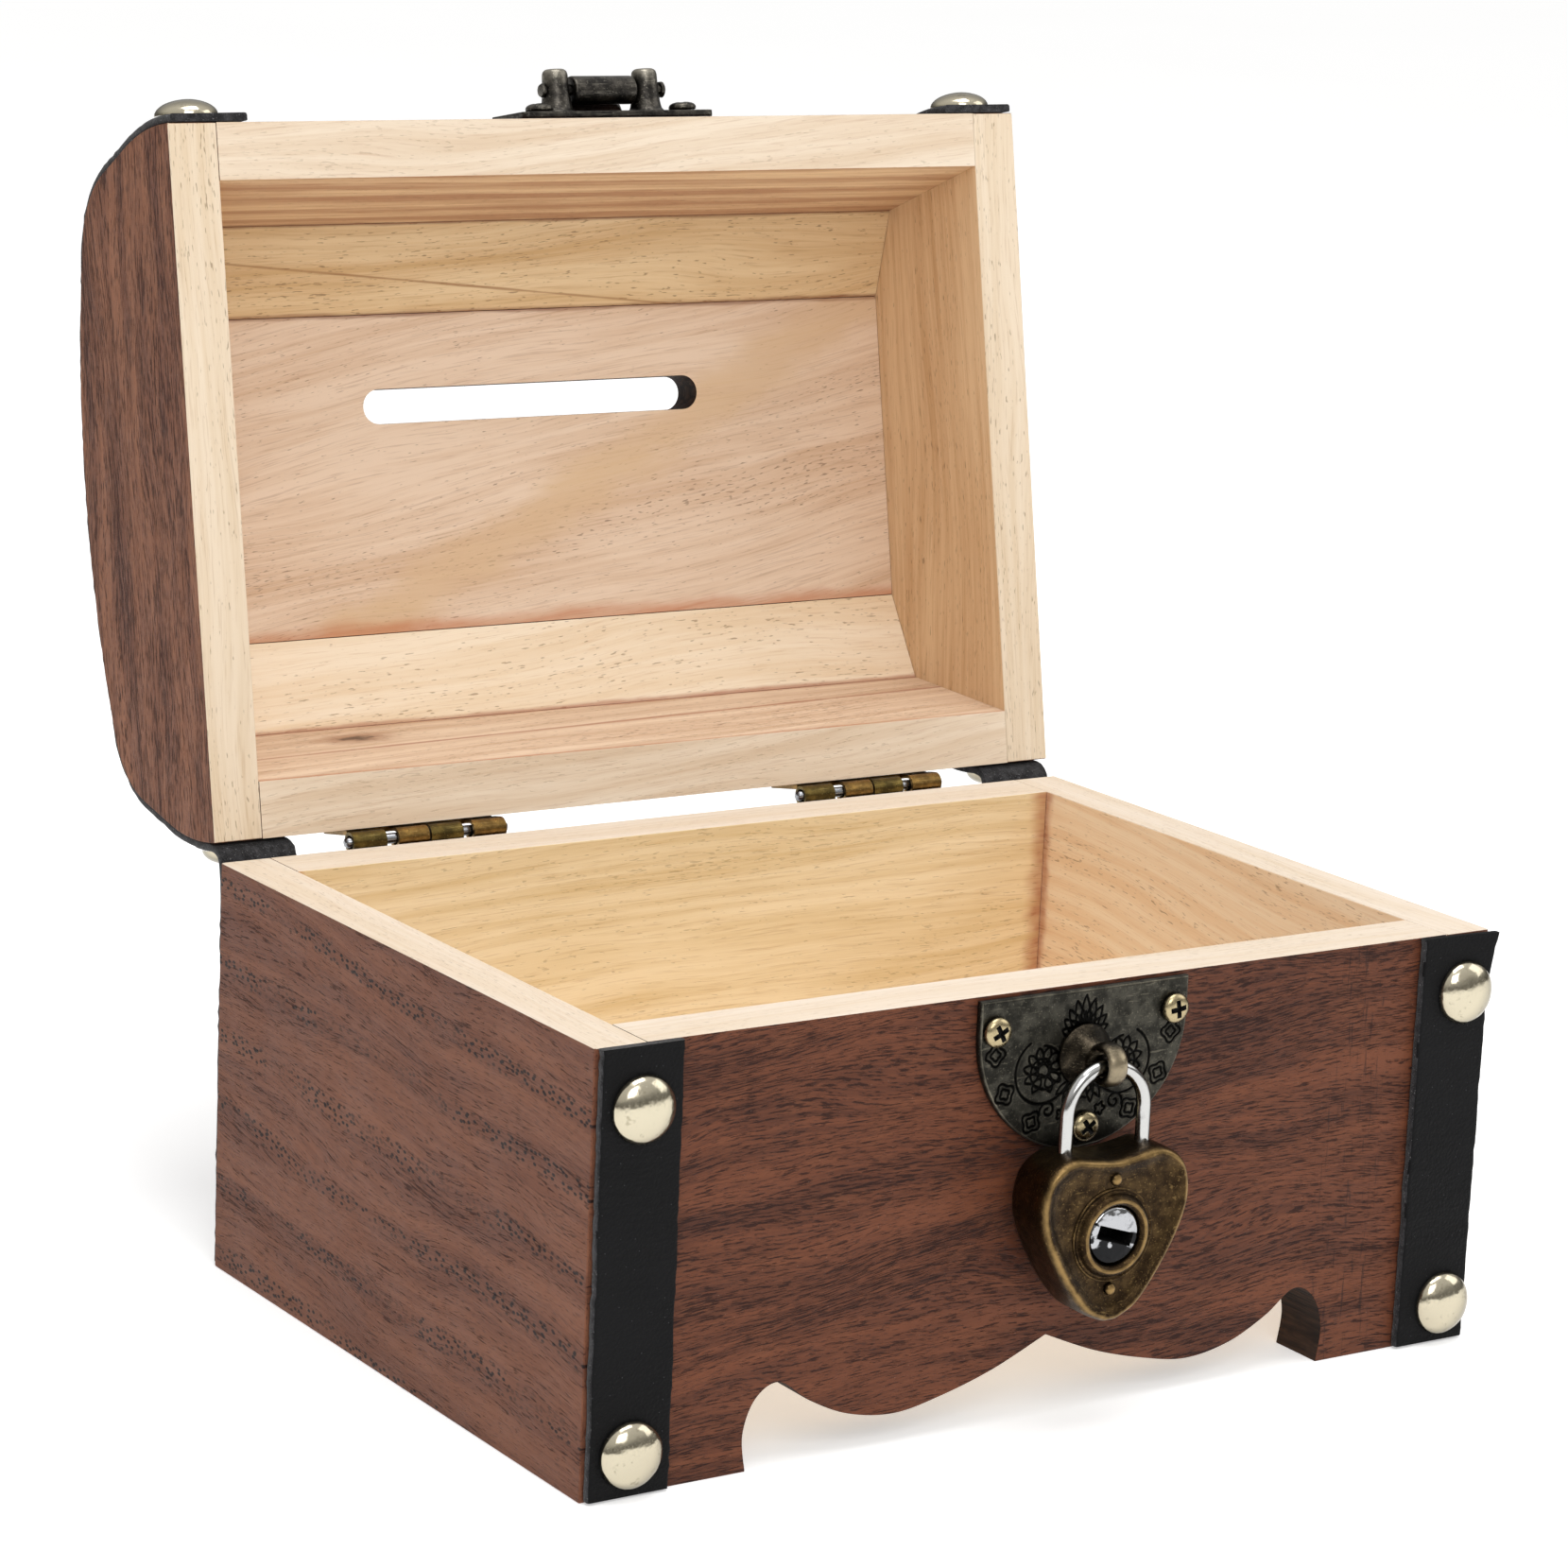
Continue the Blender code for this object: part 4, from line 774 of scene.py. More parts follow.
def build_lid():
    outside = barrel_path()
    inside = ceiling_path()
    mm = [tuple(c * 1000 for c in (0, p.x, p.y)) for p in inside]
    tangents = [(b - a).normalized() for a, b in zip(inside, inside[1:])]
    ways = [tuple((0, t.x, t.y)) for t in tangents]

    def on_strip(i, x, share):
        """A point on strip i's inner face, in millimetres: its x and how far across the strip it is."""
        spot = inside[i].lerp(inside[i + 1], share) * 1000
        return (x, spot.x, spot.y)

    def sloped(i, fall):
        """The normal of a line on strip i that moves back by this share of its length."""
        return (-fall, ways[i][1], ways[i][2])

    slit = on_strip(1, -67.0, 0.30)
    band = on_strip(2, 21.0, 0.45)
    seam = on_strip(4, -67.0, 0.55)
    knot = on_strip(4, -41.0, 0.26)
    front_strip = bare("lid_front_strip", X, ways[0], 21.0, (226, 198, 160), (184, 144, 112), (142, 100, 72),
                       ring=6.0, waves=1.0, flecks=0.3, rings=0.7, stretch=2.5,
                       stains=((mm[1], ways[0], 1.0, DARK_GLUE),))
    tan_strip = bare("lid_tan_strip", X, ways[1], 24.0, (228, 203, 163), (207, 173, 126), (164, 122, 80),
                     ring=8.0, waves=1.6, flecks=0.55, rings=0.35, tilt=-3.0,
                     stains=((mm[1], ways[1], 0.5, DARK_GLUE), (mm[2], ways[1], 0.7, DARK_GLUE),
                             (slit, sloped(1, 0.11), 0.3, (150, 104, 62))))
    pink_board = bare("lid_pink_board", X, ways[2], 28.0, (229, 206, 183), (209, 177, 147), (156, 116, 90),
                      ring=22.0, waves=4.0, flecks=0.55, rings=0.24, tilt=-9.0,
                      stains=((band, sloped(2, -0.50), 6.0, (213, 181, 142)),
                              (mm[2], ways[2], 0.6, DARK_GLUE), (mm[3], ways[2], 2.4, (192, 124, 84))))
    cream_strip = bare("lid_cream_strip", X, ways[3], 31.0, (240, 223, 198), (228, 203, 169), (198, 160, 118),
                       ring=7.0, waves=1.8, flecks=0.6, rings=0.35, tilt=-3.0,
                       stains=((mm[4], ways[3], 0.8, (168, 100, 66)),))
    back_strip = bare("lid_back_strip", X, ways[4], 35.0, (224, 200, 174), (202, 171, 142), (160, 118, 90),
                      ring=4.5, waves=1.5, flecks=0.6, rings=0.45, tilt=-5.0,
                      stains=((mm[4], ways[4], 1.0, (168, 100, 66)), (mm[5], ways[4], 1.0, (176, 112, 76)),
                              (seam, sloped(4, -0.05), 0.6, (158, 92, 66))),
                      knots=((knot, 2.3),))
    in_end = bare("lid_end_inside", Y, Z, 38.0, (226, 196, 158), (198, 158, 116), (160, 116, 78), ring=3.6,
                  waves=2.2, flecks=0.5, rings=0.16)
    slot_side = end_dark("slot_side", 9.0)

    for side, sign in (("left", -1), ("right", 1)):
        x = sorted((sign * WIDTH / 2, sign * (WIDTH / 2 - LID_END)))

        def rule(middle, normal, sign=sign):
            if normal.z < -0.9 and middle.z < 0.001:
                return 1
            return 2 if normal.x * sign < -0.9 else 0

        shape = paint(prism(outside, "X", x), rule)
        end = add(f"lid_{side}_end_board", shape, (walnut_end, lid_rim_y, in_end), "lid", LID,
                  (f"lid_{side}_end",), "walnut_stain")
        bevel(end, 0.00022, 3, 50)

    seams = []
    for i in (1, 2, 3, 4):
        before = (inside[i] - inside[i - 1]).normalized()
        after = (inside[i + 1] - inside[i]).normalized()
        seams.append((inside[i], -(before + after).normalized()))
    shell = outside + list(reversed(inside))
    half = WIDTH / 2 - LID_END - JOINT
    skin = spaced(outside, 0.0008)
    names = ("front_rail", "front_slope", "crown_plank", "back_slope", "back_rail")
    finishes = (front_strip, tan_strip, pink_board, cream_strip, back_strip)
    slots = ("walnut_stain", "tan_wood", "pink_wood", "bare_wood", "walnut_stain")
    for i, (name, finish, slot) in enumerate(zip(names, finishes, slots)):
        outline = shell
        if i > 0:
            point, forward = seams[i - 1]
            outline = cut_by_line(outline, point - forward * JOINT, -forward)
        if i < 4:
            point, forward = seams[i]
            outline = cut_by_line(outline, point + forward * JOINT, forward)

        def rule(middle, normal, i=i):
            if normal.z < -0.95 and middle.z < 0.001:
                return 1
            if abs(normal.x) > 0.9 or abs(normal.dot(Vector(ways[i]))) > 0.5:
                return 0
            spot = Vector((middle.y, middle.z))
            return 0 if min((spot - p).length for p in skin) < 0.0012 else 2

        shape = paint(prism(outline, "X", (-half, half)), rule)
        plank = add("lid_" + name + "_board", shape, (walnut_lid, lid_rim_x, finish), "lid", LID,
                    ("lid_" + name,), slot, 40)
        if name == "crown_plank":
            x, forward, length, width = SLOT
            run = (length - width) / 2
            slot_path = arc(x + run, LID_MIDDLE - forward, width / 2, -90, 180, 16)
            slot_path += arc(x - run, LID_MIDDLE - forward, width / 2, 90, 180, 16)
            rings = [[(*spot, z) for spot in slot_path] for z in (0.5 * LID_HEIGHT, 1.5 * LID_HEIGHT)]
            cut(plank, add("slot_cutter", loft(rings), (slot_side,), None, LID))
        bevel(plank, 0.00014, 2, 30)


# Straps
def strap_shape(path, centre, wobble, peel=None, way=1):
    """A leather strip along a path of (y, z) points on its underside, with softened edges.

    It grows to the left of the path, or to the right if its way is -1. Peel gives how far a point lifts and
    slides out, from its share of the length and its place across the width, from -1 to 1.
    """
    points = spaced(path, 0.0011)
    half = STRAP_WIDTH / 2
    thick = STRAP_THICK
    soft = 0.28 * thick
    section = [(-half, 0.12 * thick), (-half, 0.72 * thick), (-half + 0.4 * soft, 0.93 * thick)]
    section += [(-half + soft * (1.2 + k), thick) for k in range(2)]
    section += [(-half + half * 2 * k / 8, thick) for k in range(1, 8)]
    section += [(-x, z) for x, z in reversed(section[:5])]
    section += [(half - 0.3 * soft, 0), (-half + 0.3 * soft, 0)]
    rings = []
    for i, (here, normal) in enumerate(zip(points, lefts(points))):
        ring = []
        share = i / (len(points) - 1)
        for x, rise in section:
            hand = 1 if x > 0 else -1
            lift = 0.00008 * noise.noise(Vector((0.35 * i, 90 * x, wobble)))
            edge = 0.00018 * noise.noise(Vector((0.9 * i, wobble, 5.0 * hand)))
            edge += 0.00022 * noise.noise(Vector((0.16 * i, wobble + 7, 9.0 * hand)))
            out = rise + (lift if rise > 0.5 * thick else 0)
            side = 0.0
            if peel:
                out_more, side = peel(share, x / half)
                out += out_more
            spot = here + normal * out * way
            ring.append(Vector((centre + x + edge * abs(x / half) ** 3 + side, spot.x, spot.y)))
        rings.append(ring)
    shape = loft(rings)
    bmesh.ops.recalc_face_normals(shape, faces=shape.faces)
    return shape


def build_straps():
    black = leather("black_leather")
    fuzzy = cut_leather("cut_leather")
    back_y = BASE.translation.y + DEPTH / 2 + GAP
    for side, sign in (("left", -1), ("right", 1)):
        centre = sign * STRAP_X
        # Front of the base, from the foot to the rim
        front = [Vector((-DEPTH / 2 - GAP, z)) for z in (STRAP_FOOT, HEIGHT)]

        def peel(share, across, sign=sign):
            if sign < 0:
                return 0.0, 0.0
            top = max(0.0, (share - 0.80) / 0.20) ** 2
            corner = max(0.0, across) ** 2
            return 0.0011 * top * corner, 0.0007 * top * corner

        shape = strap_shape(front, centre, 3.0 + sign, peel)
        mark_strap(shape, lambda spot: -spot.y - DEPTH / 2 - GAP, 0.85)
        add(f"{side}_front_strap", shape, (black, fuzzy), "box", BASE, (f"{side}_strap_base_front",),
            "black_leather", 50)
        # Up the back of the base, round the hinge and over the lid
        low = [Vector((back_y, z)) for z in (STRAP_FOOT, 0.0200, 0.0400)]
        lid_line = list(reversed(offset(barrel_path(), GAP)))
        over = [(LID @ Vector((0, p.x, p.y))).yz for p in lid_line]
        on_lid = (LID @ Vector((0, LID_BACK + GAP, 0.0030))).yz
        bend = smooth_curve([(back_y, HEIGHT - 0.0060), (back_y, HEIGHT - 0.0030),
                             (back_y + 0.0009, HEIGHT), (back_y + 0.0024, HEIGHT + 0.0014),
                             on_lid, on_lid + (over[1] - over[0]).normalized() * 0.003], 8)
        rest = [p for p, flat in zip(over, lid_line) if flat.y > 0.0034] + over[-1:]
        path = low + bend[8:-8] + rest
        shape = strap_shape(path, centre, 11.0 + sign, way=-1)
        under = spaced(path, 0.0006)
        mark_strap(shape, lambda spot: min((spot.yz - p).length for p in under), 0.9)
        piece = add(f"{side}_back_strap", shape, (black, fuzzy), None, Matrix.Identity(4), (), "black_leather", 50)
        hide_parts(f"{side}_strap_base_back", f"{side}_strap_lid")
        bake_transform(piece)


def mark_strap(shape, proud, share):
    """Black on top; cut leather where a face stands less than this share of the thickness above the boards."""
    for face in shape.faces:
        face.material_index = 0 if proud(face.calc_center_median()) > share * STRAP_THICK else 1


# Fasteners
def dome(radius, height, rings):
    angles = [math.pi / 2 * i / rings for i in range(rings)]
    return [(radius * math.cos(a), height * math.sin(a)) for a in angles] + [(0, height)]


def build_nails():
    # The nail plating carries painted shade at its rims.
    plated = bright_metal("nail_plating", (200, 191, 168), 0.13, 0.00010, spots=0.5, painted_rim_shade=0.45)
    seat = STRAP_THICK + 2 * GAP
    high, low, on_lid = HEIGHT - 0.0085, 0.0062, 0.0075
    offsets = {"left": 0.0, "right": 0.0016}
    for side, sign in (("left", -1), ("right", 1)):
        x = sign * STRAP_X + offsets[side]
        spots = (
            ("base_front_top", "box", BASE, (x, -DEPTH / 2 - seat, high), TO_FRONT),
            ("base_front_foot", "box", BASE, (x, -DEPTH / 2 - seat, low), TO_FRONT),
            ("base_back_top", "box", BASE, (x, DEPTH / 2 + seat, high), TO_BACK),
            ("base_back_foot", "box", BASE, (x, DEPTH / 2 + seat, low), TO_BACK),
            ("lid_front", "lid", LID, (x, LID_FRONT - seat, on_lid), TO_FRONT),
            ("lid_back", "lid", LID, (x, LID_BACK + seat, on_lid), TO_BACK),
        )
        for i, (name, body, base, spot, outward) in enumerate(spots):
            profile = [(0, -0.0008), (0.0006, -0.0008), (0.0006, 0.0001), (0.92 * NAIL_RADIUS, 0.0001)]
            profile += [(0.985 * NAIL_RADIUS, 0.0)] + dome(NAIL_RADIUS, NAIL_HEIGHT, 16)
            shape = turned(profile, 64)
            for vertex in shape.verts:
                if vertex.co.z > 0.0003:
                    place = vertex.co * 420 + Vector((7.0 * i, 3.0 * sign, 0))
                    vertex.co.z += 0.00003 * noise.noise(place)
            turn = Matrix.Rotation(1.3 * i + sign, 4, "Z")
            place = base @ Matrix.Translation(spot) @ outward @ turn
            node = f"{side}_{name}_nail"
            add(f"{side}_{name}_dome", shape, (plated,), body, place, (node,), "pale_nickel", 60)


def cross_screw(name, node, material, body, place, turn_deg):
    radius, height = 0.00215, 0.0012
    profile = [(0, -0.0008), (0.0008, -0.0008), (0.0008, 0), (0.90 * radius, 0), (0.985 * radius, 0.10 * height)]
    profile += [(radius, 0.26 * height), (0.97 * radius, 0.50 * height), (0.88 * radius, 0.70 * height)]
    profile += [(0.72 * radius, 0.86 * height), (0.50 * radius, 0.96 * height), (0, height)]
    place = place @ Matrix.Rotation(math.radians(turn_deg), 4, "Z")
    screw = add(name, turned(profile, 48), (material,), None, place, (), None, 50)
    arms = []
    for across in (False, True):
        long, wide = 0.00145, 0.00036
        rings = []
        for z, grow in ((height - 0.0008, 0.55), (height + 0.0003, 1.08)):
            x, y = (long * grow, wide * (0.6 + 0.4 * grow))
            corners = ((-x, -y), (x, -y), (x, y), (-x, y))
            rings.append([Vector((b, a, z)) if across else Vector((a, b, z)) for a, b in corners])
        arms.append(loft(rings))
    # The recess's cut faces take the painted shade.
    for i, arm in enumerate(arms):
        cut(screw, add(f"{name}_tool_{i}", arm, (recess_painted_shade,), None, place))
    bevel(screw, 0.00006, 2, 50)
    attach(screw, body)
    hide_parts(node)
    return screw


# Painted shade for the screws' cross recesses.
recess_painted_shade = pitch("recess", 2.0)


# Lock plate
PLATE_W, PLATE_H, PLATE_SHOULDER = 0.0350, 0.0225, 0.0050


def half_width(drop):
    """The plate's half width this far below its top."""
    if drop <= PLATE_SHOULDER:
        return PLATE_W / 2
    round_height = PLATE_H - PLATE_SHOULDER
    share = min(1.0, (drop - PLATE_SHOULDER) / round_height)
    return PLATE_W / 2 * math.sqrt(max(0.0, 1 - share * share))


def ring_line(x, z, radius, lobes=0, depth=0.0, start=0.0, sweep=360.0, steps=40, turn=0.0):
    """A circle, an arc or a lobed ring as a polyline of (x, z) points in millimetres."""
    line = []
    for i in range(steps + 1):
        a = math.radians(start + sweep * i / steps)
        r = radius * (1 + depth * math.cos(lobes * (a - math.radians(turn))))
        line.append((x + r * math.cos(a), z + r * math.sin(a)))
    return line


def leaf_line(x, z, length, width, angle_deg):
    """A pointed leaf's outline, from its stem out and back."""
    a = math.radians(angle_deg)
    steps = 18
    line = []
    for i in range(2 * steps + 1):
        t = i / steps
        side = 1 if t <= 1 else -1
        t = t if t <= 1 else 2 - t
        along = length * t
        over = side * width / 2 * max(0.0, math.sin(math.pi * t)) ** 0.8
        line.append((x + along * math.cos(a) - over * math.sin(a), z + along * math.sin(a) + over * math.cos(a)))
    return line


def scroll_line(x, z, radius, start, turns, steps=46, side=1):
    """A spiral that winds in from its outside radius."""
    line = []
    for i in range(steps + 1):
        t = i / steps
        a = math.radians(start + side * 360 * turns * t)
        r = radius * (1 - 0.82 * t)
        line.append((x + r * math.cos(a), z + r * math.sin(a)))
    return line


def plate_lines():
    """The engraving: a fan of leaves over the staple, a flower scroll on each side, and square rosettes."""
    lines = []
    for angle in (22, 40, 57, 74, 90, 106, 123, 140, 158):
        length = 6.1 - 0.030 * abs(angle - 90)
        lines.append(leaf_line(0.0, -7.0, length, 1.5, angle))
        lines.append(leaf_line(0.0, -7.0, 0.62 * length, 0.7, angle))
    for side in (-1, 1):
        middle = (side * 6.6, -10.8)
        lines.append(ring_line(*middle, 4.7, start=60 if side > 0 else 120, sweep=-side * 260, steps=44))
        lines.append(scroll_line(*middle, 3.5, 90, 1.6, side=side))
        for angle in (0, 32, 64, 96, 128, 160, 200, 236, 290, 326):
            turn = angle if side > 0 else 180 - angle
            a = math.radians(turn)
            start = (middle[0] + 1.1 * math.cos(a), middle[1] + 1.1 * math.sin(a))
            lines.append(leaf_line(*start, 2.3, 1.25, turn + side * 16))
        lines.append(ring_line(*middle, 0.9, steps=20))
        for angle in (-150, -122, -96):
            lines.append(leaf_line(side * 1.2, -12.6, 3.6, 1.2, angle if side < 0 else -180 - angle))
        lines.append(scroll_line(side * 5.6, -16.6, 1.4, 200 if side < 0 else -20, 1.3, 26, side))
        lines.append(ring_line(side * 3.2, -17.4, 0.75, 5, 0.25, steps=30))
        for angle in (-3, -29, -56):
            a = math.radians(angle)
            x, z = side * 14.8 * math.cos(a), -7.0 + 13.2 * math.sin(a)
            lines.append(ring_line(x, z, 1.42, 4, 0.16, turn=math.degrees(a) * side))
            lines.append(ring_line(x, z, 0.72, 4, 0.16, turn=math.degrees(a) * side, steps=24))
    lines.append(ring_line(0.0, -14.0, 1.5, 6, 0.12, steps=36))
    lines.append(ring_line(0.0, -14.0, 0.7, steps=18))
    return lines


def distance_to_lines(points, lines):
    nearest = np.full(len(points), 1e9)
    for line in lines:
        knots = np.array(line)
        low, high = knots.min(0) - 0.9, knots.max(0) + 0.9
        near = np.where(((points > low) & (points < high)).all(1))[0]
        if not len(near):
            continue
        here = points[near]
        best = np.full(len(near), 1e9)
        for a, b in zip(knots, knots[1:]):
            span = b - a
            t = np.clip(((here - a) @ span) / max(span @ span, 1e-12), 0, 1)
            best = np.minimum(best, np.linalg.norm(here - a - t[:, None] * span, axis=1))
        nearest[near] = np.minimum(nearest[near], best)
    return nearest


def build_plate():
    low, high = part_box("lock_plate")
    top, face_y, back_y = high.z, low.y, high.y
    rows, columns = 200, 300
    drops = [PLATE_H * i / rows for i in range(rows + 1)]
    drops[-1] = PLATE_H * 0.9995
    grid = np.zeros((rows + 1, columns + 1, 2))
    for i, drop in enumerate(drops):
        half = half_width(drop)
        grid[i, :, 0] = np.linspace(-half, half, columns + 1) * 1000
        grid[i, :, 1] = -drop * 1000
    flat = grid.reshape(-1, 2)
    away = distance_to_lines(flat, plate_lines())
    groove = np.exp(-((away / 0.19) ** 2.4))
    lip = np.exp(-(((away - 0.32) / 0.10) ** 2))
    outline = [(-PLATE_W / 2 * 1000, 0), (PLATE_W / 2 * 1000, 0)]
    outline += [(half_width(d) * 1000, -d * 1000) for d in np.linspace(PLATE_SHOULDER, PLATE_H, 60)]
    outline += [(-half_width(d) * 1000, -d * 1000) for d in np.linspace(PLATE_H, PLATE_SHOULDER, 60)]
    edge = distance_to_lines(flat, [outline + outline[:1]])
    rim = np.clip(1 - edge / 0.35, 0, 1)
    sink = 0.16 * groove - 0.05 * lip + 0.24 * rim**2
    shape = bmesh.new()
    centre = HARDWARE_X
    front = []
    for k, (x, z) in enumerate(flat):
        front.append(shape.verts.new((centre + x / 1000, face_y + sink[k] / 1000, top + z / 1000)))
    for i in range(rows):
        for j in range(columns):
            a = i * (columns + 1) + j
            b = a + columns + 1
            shape.faces.new((front[a], front[a + 1], front[b + 1], front[b]))
    loop = [front[j] for j in range(columns + 1)]
    loop += [front[i * (columns + 1) + columns] for i in range(1, rows + 1)]
    loop += [front[rows * (columns + 1) + j] for j in range(columns - 1, -1, -1)]
    loop += [front[i * (columns + 1)] for i in range(rows - 1, 0, -1)]
    behind = [shape.verts.new((v.co.x, back_y, v.co.z)) for v in loop]
    for i in range(len(loop)):
        j = (i + 1) % len(loop)
        shape.faces.new((loop[i], loop[j], behind[j], behind[i]))
    shape.faces.new(behind)
    pewter = old_metal("engraved_pewter", (42, 41, 37), (69, 67, 60), (136, 130, 114), 0.36, "worn", 1.2)
    plate = add("engraved_plate", shape, (pewter,), "box", Matrix.Identity(4), ("lock_plate",), "dark_pewter", 60)
    worn = 0.5 - 0.62 * groove + 0.14 * lip + 0.24 * np.exp(-(((edge - 0.20) / 0.12) ** 2))
    values = np.full(len(plate.data.vertices), 0.5)
    values[: len(worn)] = worn
    set_attribute(plate, "worn", values)
    # The screws' brass carries painted shade at its rims.
    brass = bright_metal("screw_brass", (176, 161, 126), 0.24, 0.00003, (96, 82, 54), 0.6, 0.6)
    spots = (("left", -0.0150, 0.0043, 28), ("right", 0.0150, 0.0043, 8), ("low", 0.0006, PLATE_H - 0.0031, 35))
    for name, x, drop, turn in spots:
        place = Matrix.Translation((HARDWARE_X + x, face_y - GAP, top - drop)) @ TO_FRONT
        cross_screw(f"plate_{name}_screw", f"lock_plate_{name}_screw", brass, "box", place, turn)
    build_staple(face_y - GAP)


def build_staple(surface):
    swing = Vector(joints["padlock_swing"]["pos_m"])
    rise = surface - swing.y
    low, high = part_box("staple")
    height = (low.z + high.z) / 2
    place = Matrix.Translation((HARDWARE_X, surface, height)) @ TO_FRONT
    boss = [(0, -0.0002), (0.0044, -0.0002), (0.00442, 0.0003), (0.0040, 0.0008), (0.0031, 0.0021)]
    boss += [(0.0024, 0.0033), (0.0021, rise), (0, rise + 0.0006)]
    at_eye = Matrix.Translation((0, 0, rise)) @ TO_SIDE
    angles = [2 * math.pi * i / 48 for i in range(48)]
    eye = ringed([(0.00238 + 0.00074 * math.cos(a), 0.00155 * math.sin(a)) for a in angles], 64, 0.96)
    bmesh.ops.transform(eye, matrix=at_eye, verts=eye.verts)
    shape = join([turned(boss, 56), eye])
    metal = old_metal("staple_metal", (38, 34, 28), (78, 70, 58), (160, 147, 122), 0.30, "worn")
    piece = add("cast_staple", shape, (metal,), None, place, (), "dark_pewter", 80)
    hole = turned([(0, -0.003), (0.00155, -0.003), (0.00155, 0.003), (0, 0.003)], 40, at_eye)
    fuse(piece, 0.00014, 6)
    cut(piece, add("staple_bore", hole, (metal,), None, place))
    piece.data.shade_smooth()
    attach(piece, "box")
    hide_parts("staple")
    heights = np.array([v.co.z for v in piece.data.vertices])
    shares = np.clip(heights / heights.max(), 0, 1)
    set_attribute(piece, "worn", 0.28 + 0.62 * shares**2.2)


# Hasp
def build_hasp():
    iron = old_metal("hasp_iron", (44, 42, 40), (84, 80, 74), (170, 164, 150), 0.30, "worn", 1.6)
    thick, pin_rise, staple_drop = 0.0010, 0.0070, 0.0097
    surface = LID_FRONT - GAP - thick
    low_rise, high_rise, wide = 0.0012, 0.0122, 0.0340
    x = (HARDWARE_X - wide / 2, HARDWARE_X + wide / 2)
    outline = []
    corner = 0.0012
    for cx, cz, start in ((x[1] - corner, high_rise - corner, 0), (x[0] + corner, high_rise - corner, 90),
                          (x[0] + corner, low_rise + corner, 180), (x[1] - corner, low_rise + corner, 270)):
        outline += arc(cx, cz, corner, start, 90, 6)
    shells = [prism(outline, "Y", (surface, surface + thick))]
    height, foot, head = 0.0069, 0.0024, 0.0020
    post = [(0, -0.0005), (foot + 0.0008, -0.0005), (foot + 0.0006, 0.0002), (foot + 0.0001, 0.0007)]
    post += [(foot - 0.0001, 0.0016), (head + 0.0001, 0.5 * height), (head, 0.86 * height)]
    post += [(head - 0.00015, 0.94 * height), (head - 0.0006, 0.99 * height), (0, height)]
    for sign in (-1, 1):
        spot = Matrix.Translation((HARDWARE_X + sign * 0.0080, surface, pin_rise))
        shells.append(turned(post, 40, spot @ TO_FRONT))
    plate = add("hasp_cast_plate", join(shells), (iron,), None, LID, (), "dark_iron", 80)
    fuse(plate, 0.00016, 3)
    plate.data.shade_smooth()
    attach(plate, "lid")
    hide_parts("hasp_plate")
    depths = np.array([surface - v.co.y for v in plate.data.vertices])
    set_attribute(plate, "worn", np.clip(0.42 + 0.42 * (depths / height) ** 2, 0, 1))

    pin_at = Vector((HARDWARE_X, surface - 0.0036, pin_rise))
    place = LID @ Matrix.Translation(pin_at)
    reach = 0.0104
    pin = [(0, -reach - 0.0004), (0.0009, -reach - 0.0003), (0.0011, -reach), (0.0008, -reach + 0.0002)]
    pin += [(0.0008, reach), (0.0012, reach + 0.0001), (0.00125, reach + 0.0006), (0.0008, reach + 0.0009)]
    pin.append((0, reach + 0.0010))
    piece = add("hasp_rod", turned(pin, 36, TO_SIDE), (iron,), "lid", place, ("hasp_pin",), "dark_iron", 50)
    set_attribute(piece, "worn", np.full(len(piece.data.vertices), 0.6))
    for name, sign, turn in (("left", -1, 20), ("right", 1, 50)):
        spot = LID @ Matrix.Translation((HARDWARE_X + sign * 0.0128, surface - GAP, 0.0040)) @ TO_FRONT
        cross_screw(f"hasp_{name}_round", f"hasp_{name}_screw", dark_screw, "lid", spot, turn)

    folded = math.radians(joints["hasp_hinge"]["range_deg"][1])
    swing = LID @ Matrix.Translation(pin_at) @ Matrix.Rotation(-folded, 4, "X")
    eye_drop = RIM_GAP + pin_rise + staple_drop
    radius, neck, drop = 0.0068, 0.0050, 0.0040
    shoulder = -drop - radius + neck
    outline = [(-neck, 0), (neck, 0), (neck, -drop)]
    outline += [(neck + (radius - neck) * t, -drop + (shoulder + drop) * t) for t in (0.33, 0.66, 1.0)]
    outline += arc(0, -eye_drop, radius, 0, -180, 40)
    outline += [(-radius, shoulder), (-neck, -drop)]
    inner = 0.0016 - GAP
    flat = prism(outline, "Y", (inner - 0.0012, inner))
    half = 0.0055
    barrel = [(0, -half), (0.0020, -half), (0.0022, -half + 0.0002)]
    barrel += [(r, -z) for r, z in reversed(barrel)]
    leaf = join([flat, turned(barrel, 40, TO_SIDE)])
    leaf = add("hasp_swing_leaf", leaf, (iron,), None, swing, (), "dark_iron", 60)
    fuse(leaf, 0.00016, 3)
    hole = turned([(0, -0.01), (0.0051, -0.01), (0.0051, 0.01), (0, 0.01)], 64,
                  Matrix.Translation((0, 0, -eye_drop)) @ TO_FRONT)
    cut(leaf, add("eye_cutter", hole, (iron,), None, swing))
    bore = turned([(0, -0.02), (0.00095, -0.02), (0.00095, 0.02), (0, 0.02)], 24, TO_SIDE)
    cut(leaf, add("bore_cutter", bore, (iron,), None, swing))
    leaf.data.shade_smooth()
    leaf.data.set_sharp_from_angle(angle=math.radians(50))
    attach(leaf, "hasp")
    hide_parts("hasp_leaf")
    reach = np.array([math.hypot(v.co.x, v.co.z + eye_drop) for v in leaf.data.vertices])
    sides = np.clip(1 - np.abs(reach - radius) / 0.0006, 0, 1)
    set_attribute(leaf, "worn", np.clip(0.45 + 0.35 * sides, 0, 1))


dark_screw = old_metal("screw_iron", (50, 48, 45), (92, 88, 80), (180, 172, 156), 0.28)


